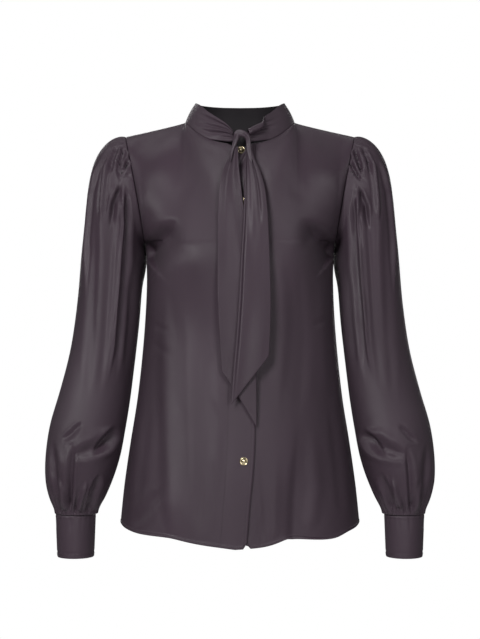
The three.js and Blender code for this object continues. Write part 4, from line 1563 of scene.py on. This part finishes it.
@dataclass
class Buttons:
    """Domed gilt buttons: six down the front and two on each cuff."""

    form: BodyForm
    sides: int = 48
    front: tuple = (
        (0.0, 0.0), (5.2, 0.0), (5.85, 0.25), (6.0, 0.75), (5.85, 1.25), (5.4, 1.5), (4.9, 1.42), (4.5, 1.2),
        (4.1, 1.3), (3.7, 1.75), (3.0, 2.45), (2.1, 3.0), (1.1, 3.4), (0.0, 3.55),
    )
    cuff_scale: float = 0.75
    half_height: float = 1.8
    cuff_way: tuple = (0.07, 0.998, -0.035)
    top_way: tuple = (0.0, -36.0, 12.4)
    slope_reach: float = 8.0

    def facing(self, node: str) -> Vector:
        """Way that a button looks.

        Args:
            node: Its CAD node.

        Returns:
            A unit vector.
        """
        if "cuff" in node:
            out, back, up = self.cuff_way
            return Vector((out if "left" in node else -out, back, up)).normalized()
        if node == "button_front_1":
            return Vector(self.top_way).normalized()
        low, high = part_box(node)
        height = (low[2] + high[2]) / 2.0 / MM
        levels = np.linspace(0.2, TOP - 0.05, 400)
        line = self.form.point(Face.FRONT, np.zeros(400), levels)
        reach = self.slope_reach
        upper, lower = (np.interp(height + shift, line[:, 2], line[:, 1]) for shift in (reach, -reach))
        return Vector((0.0, -2.0 * reach, float(upper - lower))).normalized()

    def build(self, gilt: bpy.types.Material) -> None:
        """Make every button on its CAD node's place.

        Args:
            gilt: Their finish.
        """
        nodes = [f"button_front_{index}" for index in range(1, 7)]
        nodes += [f"button_cuff_{side.value}_{index}" for side in Side for index in (1, 2)]
        for node in nodes:
            scale = self.cuff_scale if "cuff" in node else 1.0
            low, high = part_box(node)
            middle = (Vector(low) + Vector(high)) / 2.0
            facing = self.facing(node)
            seat = middle - facing * self.half_height * scale * MM
            turn = np.linspace(0.0, 2.0 * math.pi, self.sides, endpoint=False)
            radius, height = np.array(self.front).T[..., None] * scale
            radius = np.maximum(radius, 0.02 * scale)
            flat = np.stack([radius * np.cos(turn), radius * np.sin(turn)], axis=-1)
            grid = np.concatenate([flat, np.broadcast_to(height[..., None], flat[..., :1].shape)], axis=-1)
            quads, rows, columns = grid_quads(len(self.front), self.sides, True)
            uv = np.stack([columns / self.sides, rows / len(self.front)], axis=-1).reshape(-1, 2)
            turned = np.array(Vector((0.0, 0.0, 1.0)).rotation_difference(facing).to_matrix())
            points = grid.reshape(-1, 3) @ turned.T + np.array(seat) / MM
            piece = new_piece("gilt_" + node, points, quads, uv)
            piece.data.materials.append(gilt)
            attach(piece, BODY)
            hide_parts(node)
        LOG.info("buttons: %d", len(nodes))


@dataclass
class Stitching:
    """Rows of small machine stitches along the hem, the front edge and the cuffs."""

    length: float = 2.1
    pitch: float = 3.0
    clear: float = 2.0
    half_width: float = 0.2
    lift: float = 0.16
    spots: tuple = (0.0, 0.22, 0.5, 0.78, 1.0)
    heights: tuple = (-0.6, 0.7, 1.0, 0.7, -0.6)
    widths: tuple = (0.45, 1.0, 1.0, 1.0, 0.45)
    points: list = field(default_factory=list)
    faces: list = field(default_factory=list)

    def sew(self, line: np.ndarray, normals: np.ndarray) -> None:
        """Lay stitches along a line on the cloth.

        Args:
            line: Points on the outer face.
            normals: The way the cloth faces at each.
        """
        reach = lengths(line)
        rise = self.lift * np.array(self.heights)[:, None]
        wide = self.half_width * np.array(self.widths)[:, None]
        tube = grid_quads(len(self.spots), 4, True)[0]
        quads = np.concatenate([tube, [[0, 1, 2, 3], [19, 18, 17, 16]]])
        for index in range(int((reach[-1] - 2.0 * self.clear) / self.pitch)):
            spots = self.clear + index * self.pitch + self.length * np.array(self.spots)
            spine = along_line(spots, reach, line)
            up = along_line(spots, reach, normals)
            way = spine[-1] - spine[0]
            side = np.cross(way / np.linalg.norm(way), up)
            ring = [spine + up * rise + side * wide, spine + up * (rise + self.half_width),
                    spine + up * rise - side * wide, spine + up * (rise - self.half_width)]
            self.faces.extend(len(self.points) + quads)
            self.points.extend(np.stack(ring, axis=1).reshape(-1, 3))

    def build(self, thread: bpy.types.Material) -> None:
        """Make one piece of all stitches.

        Args:
            thread: Their finish.
        """
        faces = np.array(self.faces)[:, ::-1]
        piece = new_piece("machine_stitches", np.array(self.points), faces, np.zeros((faces.size, 2)))
        piece.data.materials.append(thread)
        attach(piece, BODY)
        LOG.info("stitches: %d", len(self.faces) // 18)


@dataclass(frozen=True)
class Tint:
    """A colour, in linear light."""

    red: float
    green: float
    blue: float

    def rgba(self) -> tuple:
        """The colour with full alpha.

        Returns:
            Red, green, blue and 1.
        """
        return (self.red, self.green, self.blue, 1.0)


@dataclass(frozen=True)
class Graph:
    """A node tree, with short calls to add nodes and to set and link their inputs."""

    tree: bpy.types.NodeTree

    def add(self, kind: str, inputs: dict | None = None, **settings: object) -> bpy.types.Node:
        """Add a node.

        Args:
            kind: Blender's name of its type.
            inputs: A constant or an output socket for each named or numbered input.
            settings: The node's own settings.

        Returns:
            The node.
        """
        node = self.tree.nodes.new(kind)
        for name, value in settings.items():
            setattr(node, name, value)
        self.wire(node, inputs or {})
        return node

    def wire(self, node: bpy.types.Node, inputs: dict) -> None:
        """Set or link inputs of a node.

        Args:
            node: The node.
            inputs: A constant or an output socket for each named or numbered input.
        """
        for name, value in inputs.items():
            if isinstance(value, bpy.types.NodeSocket):
                self.tree.links.new(value, node.inputs[name])
            else:
                node.inputs[name].default_value = value

    def shader(self, inputs: dict) -> None:
        """Set or link inputs of the material's Principled shader.

        Args:
            inputs: A constant or an output socket for each named input.
        """
        self.wire(self.tree.nodes["Principled BSDF"], inputs)


def with_nodes(block: bpy.types.ID) -> Graph:
    """Graph of a new material or world.

    Args:
        block: The material or world.

    Returns:
        Its graph.
    """
    block.use_nodes = True
    return Graph(block.node_tree)


class ClothEffects:
    """Shader node group for woven cloth, shared by the satins and the thread."""

    def __init__(self) -> None:
        """Build the group once."""
        self.graph = Graph(bpy.data.node_groups.new("woven_cloth", "ShaderNodeTree"))
        sockets = (
            ("INPUT", "Vector", ("Cloth Place",)),
            ("INPUT", "Float", ("Threads per Metre", "Crumple per Metre", "Crumple Share",
                                "Roughness Low", "Roughness High")),
            ("INPUT", "Color", ("Lit Colour", "Deep Colour")),
            ("OUTPUT", "Color", ("Colour",)),
            ("OUTPUT", "Float", ("Roughness", "Height")),
        )
        for way, kind, names in sockets:
            for name in names:
                self.graph.tree.interface.new_socket(name, in_out=way, socket_type="NodeSocket" + kind)
        self.fill()

    def scaled(self, given: bpy.types.Node, name: str, factors: tuple) -> bpy.types.NodeSocket:
        """The cloth place, multiplied by a stated count and stretched.

        Args:
            given: The group's input node.
            name: Input that holds the count.
            factors: Stretch in each direction.

        Returns:
            The scaled place.
        """
        spread = self.graph.add("ShaderNodeVectorMath", {0: given.outputs["Cloth Place"],
                                                         "Scale": given.outputs[name]}, operation="SCALE")
        stretch = self.graph.add("ShaderNodeVectorMath", {0: spread.outputs[0], 1: factors},
                                 operation="MULTIPLY")
        return stretch.outputs[0]

    def fill(self) -> None:
        """Wire the group."""
        add = self.graph.add
        given = add("NodeGroupInput")
        weave = add("ShaderNodeTexWave", {
            "Vector": self.scaled(given, "Threads per Metre", (1.0, 1.0, 1.0)),
            "Scale": 0.35, "Distortion": 0.6, "Detail": 1.0,
        }, wave_type="BANDS", bands_direction="DIAGONAL")
        crumple = add("ShaderNodeTexNoise", {
            "Vector": self.scaled(given, "Crumple per Metre", (1.0, 0.3, 1.0)),
            "Scale": 1.0, "Detail": 2.0, "Roughness": 0.4,
        })
        broad = add("ShaderNodeTexNoise", {
            "Vector": self.scaled(given, "Crumple per Metre", (1.0, 0.45, 1.0)), "Scale": 0.22, "Detail": 1.0,
        })
        mix = add("ShaderNodeMix", {0: given.outputs["Crumple Share"], 2: weave.outputs["Fac"],
                                    3: crumple.outputs["Fac"]}, data_type="FLOAT")
        tone = add("ShaderNodeMapRange", {"Value": broad.outputs["Fac"], "From Min": 0.3, "From Max": 0.7},
                   interpolation_type="SMOOTHSTEP")
        colour = add("ShaderNodeMix", {0: tone.outputs[0], 6: given.outputs["Deep Colour"],
                                       7: given.outputs["Lit Colour"]}, data_type="RGBA")
        gloss = add("ShaderNodeMapRange", {"Value": crumple.outputs["Fac"],
                                           "To Min": given.outputs["Roughness Low"],
                                           "To Max": given.outputs["Roughness High"]})
        add("NodeGroupOutput", {"Colour": colour.outputs[2], "Roughness": gloss.outputs[0],
                                "Height": mix.outputs[0]})


@dataclass(frozen=True)
class Satin:
    """Finish of the satin, or of the thread that sews it."""

    name: str = "dark_satin"
    lit: Tint = Tint(0.0740, 0.0500, 0.0680)
    deep: Tint = Tint(0.0650, 0.0440, 0.0595)
    roughness: tuple = (0.36, 0.46)
    threads: float = 2600.0
    crumple: float = 60.0
    crumple_share: float = 0.55
    relief: float = 0.0005
    strength: float = 0.35
    specular: float = 0.42
    floats: float = 0.85

    def build(self, effects: ClothEffects) -> bpy.types.Material:
        """Make the material.

        Args:
            effects: The shared group.

        Returns:
            The material.
        """
        material = bpy.data.materials.new(self.name)
        graph = with_nodes(material)
        woven = graph.add("ShaderNodeGroup", {
            "Cloth Place": graph.add("ShaderNodeUVMap", uv_map="cloth").outputs["UV"],
            "Threads per Metre": self.threads, "Crumple per Metre": self.crumple,
            "Crumple Share": self.crumple_share, "Roughness Low": self.roughness[0],
            "Roughness High": self.roughness[1], "Lit Colour": self.lit.rgba(),
            "Deep Colour": self.deep.rgba(),
        }, node_tree=effects.graph.tree)
        bump = graph.add("ShaderNodeBump", {"Strength": self.strength, "Distance": self.relief,
                                            "Height": woven.outputs["Height"]})
        along = graph.add("ShaderNodeTangent", direction_type="UV_MAP", uv_map="cloth")
        graph.shader({
            "Base Color": woven.outputs["Colour"], "Roughness": woven.outputs["Roughness"],
            "Normal": bump.outputs["Normal"], "Tangent": along.outputs["Tangent"],
            "Specular IOR Level": self.specular, "Anisotropic": self.floats,
        })
        return material


@dataclass(frozen=True)
class Gilt:
    """Finish of the polished buttons, a little dulled in places."""

    name: str = "gilt_metal"
    tint: Tint = Tint(0.88, 0.74, 0.48)
    roughness: tuple = (0.15, 0.26)
    grain: float = 900.0
    strength: float = 0.15
    relief: float = 0.0001

    def build(self) -> bpy.types.Material:
        """Make the material.

        Returns:
            The material.
        """
        material = bpy.data.materials.new(self.name)
        graph = with_nodes(material)
        place = graph.add("ShaderNodeTexCoord").outputs["Object"]
        noise = graph.add("ShaderNodeTexNoise", {"Vector": place, "Scale": self.grain, "Detail": 3.0})
        dulled = graph.add("ShaderNodeMapRange", {"Value": noise.outputs["Fac"], "To Min": self.roughness[0],
                                                  "To Max": self.roughness[1]})
        bump = graph.add("ShaderNodeBump", {"Strength": self.strength, "Distance": self.relief,
                                            "Height": noise.outputs["Fac"]})
        graph.shader({"Base Color": self.tint.rgba(), "Metallic": 1.0, "Roughness": dulled.outputs[0],
                      "Normal": bump.outputs["Normal"]})
        return material


@dataclass(frozen=True)
class SoftLight:
    """One large soft light.

    Attributes:
        name: Its name.
        place: Where it hangs, in metres.
        size: Width and height, in metres.
        watts: Its power.
    """

    name: str
    place: tuple
    size: tuple
    watts: float

    def build(self, aim: Vector) -> None:
        """Hang the light.

        Args:
            aim: Point that it faces.
        """
        data = bpy.data.lights.new(self.name, "AREA")
        data.shape = "RECTANGLE"
        data.size, data.size_y = self.size
        data.energy = self.watts
        lamp = bpy.data.objects.new(self.name, data)
        lamp.location = self.place
        lamp.rotation_euler = (aim - Vector(self.place)).to_track_quat("-Z", "Y").to_euler()
        bpy.context.scene.collection.objects.link(lamp)


@dataclass(frozen=True)
class Studio:
    """Camera, soft lights, white surroundings and a plain pale floor."""

    camera_place: tuple = (0.0, -2.8, -0.295)
    lens: float = 105.2
    aim: tuple = (0.0, 0.0, -0.3)
    floor_z: float = -1.25
    floor_radius: float = 1.15
    floor_sides: int = 96
    around: float = 0.14
    lights: tuple = (
        SoftLight("key", (-1.15, -2.5, 1.05), (0.9, 0.8), 49.0),
        SoftLight("fill", (1.3, -2.7, 0.4), (0.9, 1.1), 16.0),
        SoftLight("above", (-0.2, 0.9, 2.1), (1.4, 0.8), 5.0),
        SoftLight("behind_left", (-0.9, 2.7, 0.4), (0.9, 1.2), 15.0),
        SoftLight("behind_right", (1.0, 2.7, 0.2), (0.8, 1.2), 9.0),
    )

    def build(self) -> None:
        """Set up the studio."""
        scene = bpy.context.scene
        scene.view_settings.view_transform = "Standard"
        data = bpy.data.cameras.new("camera")
        data.lens = self.lens
        data.sensor_width = 36.0
        data.clip_end = 50.0
        camera = bpy.data.objects.new("camera", data)
        camera.location = self.camera_place
        camera.rotation_euler = Euler((math.pi / 2.0, 0.0, 0.0))
        scene.collection.objects.link(camera)
        scene.camera = camera
        for light in self.lights:
            light.build(Vector(self.aim))
        self.surroundings()
        self.floor()

    def surroundings(self) -> None:
        """White to look at, dimmer as a light."""
        world = bpy.data.worlds.new("white_studio")
        bpy.context.scene.world = world
        graph = with_nodes(world)
        white = (1.0, 1.0, 1.0, 1.0)
        backdrop = graph.tree.nodes["Background"]
        graph.wire(backdrop, {"Color": white, "Strength": 1.0})
        dim = graph.add("ShaderNodeBackground", {"Color": white, "Strength": self.around})
        path = graph.add("ShaderNodeLightPath")
        mix = graph.add("ShaderNodeMixShader", {"Fac": path.outputs["Is Camera Ray"], 1: dim.outputs[0],
                                                2: backdrop.outputs[0]})
        graph.wire(graph.tree.nodes["World Output"], {"Surface": mix.outputs[0]})

    def floor(self) -> None:
        """A round pale floor, far below the hem."""
        sides = self.floor_sides
        turn = np.linspace(0.0, 2.0 * math.pi, sides, endpoint=False)
        round_it = np.stack([np.cos(turn), np.sin(turn), np.zeros(sides)], axis=-1)
        rings = [round_it * radius + (0.0, 0.0, self.floor_z) for radius in (0.01, self.floor_radius)]
        faces = grid_quads(2, sides, True)[0][:, ::-1]
        piece = new_piece("pale_floor", np.concatenate(rings) / MM, faces, np.zeros((faces.size, 2)))
        material = bpy.data.materials.new("pale_floor")
        graph = with_nodes(material)
        noise = graph.add("ShaderNodeTexNoise", {"Scale": 3.0})
        tone = graph.add("ShaderNodeMapRange", {"Value": noise.outputs["Fac"],
                                                "To Min": 0.55, "To Max": 0.62})
        graph.shader({"Base Color": (0.84, 0.84, 0.84, 1.0), "Roughness": tone.outputs[0]})
        piece.data.materials.append(material)


def sew_all(bodice: Bodice, cuffs: tuple) -> Stitching:
    """Lay the stitch lines of the hem, the front edge and the cuffs.

    Args:
        bodice: The finished panels.
        cuffs: The finished cuffs.

    Returns:
        The stitches.
    """
    sewing = Stitching()
    row = int(np.searchsorted(bodice.levels(), 0.085))
    for grid in bodice.outer.values():
        sewing.sew(grid[row], surface_normals(grid)[row])
    right = bodice.outer["front_right"]
    normals = surface_normals(right)
    for inset in (2, 13):
        column = right.shape[1] - 1 - inset
        sewing.sew(right[2:-6, column], normals[2:-6, column])
    for cuff in cuffs:
        grid = cuff.outer()
        normals = surface_normals(grid)
        for row in (3, grid.shape[0] - 4):
            sewing.sew(grid[row, 2:-2], normals[row, 2:-2])
    return sewing


def main() -> None:
    """Build the blouse and the studio."""
    LOG.info("frame with %d nodes", len(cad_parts))
    effects = ClothEffects()
    # The wrong side is duller, and its colour is painted about a third as bright as the face as painted shade
    # inside the garment.
    reverse = Satin("satin_reverse_painted_shade", Tint(0.024, 0.020, 0.024), Tint(0.021, 0.018, 0.021), (0.55, 0.65),
                    specular=0.2, floats=0.3)
    satin = TwoSidedCloth(Satin().build(effects), reverse.build(effects))
    thread = Satin("satin_thread", Tint(0.036, 0.025, 0.033), Tint(0.030, 0.021, 0.027), (0.5, 0.6))
    gilt = Gilt().build()
    form = BodyForm()
    bodice = Bodice(form)
    bodice.build(satin)
    for side in Side:
        Sleeve(form, side).build(satin)
    NeckBand(form).build(satin)
    NeckStands().build(satin)
    cuffs = (Cuff(Side.LEFT), Cuff(Side.RIGHT))
    for cuff in cuffs:
        cuff.build(satin)
    TieKnot().build(satin)
    under = TieTail("tie_tail_under", UNDER_TAIL_SECTIONS, (-369, -450), UNDER_TAIL_FOLDS)
    under.build(satin, (0.056, 0.41), 0.0165)
    over = TieTail("tie_tail_over", OVER_TAIL_SECTIONS, (-417, -347), OVER_TAIL_FOLDS)
    over.build(satin, (0.052, 0.375), 0.0133)
    Buttons(form).build(gilt)
    sew_all(bodice, cuffs).build(thread.build(effects))
    Studio().build()


if __name__ == "__main__":
    logging.basicConfig(level=logging.INFO, format="%(message)s")
    main()
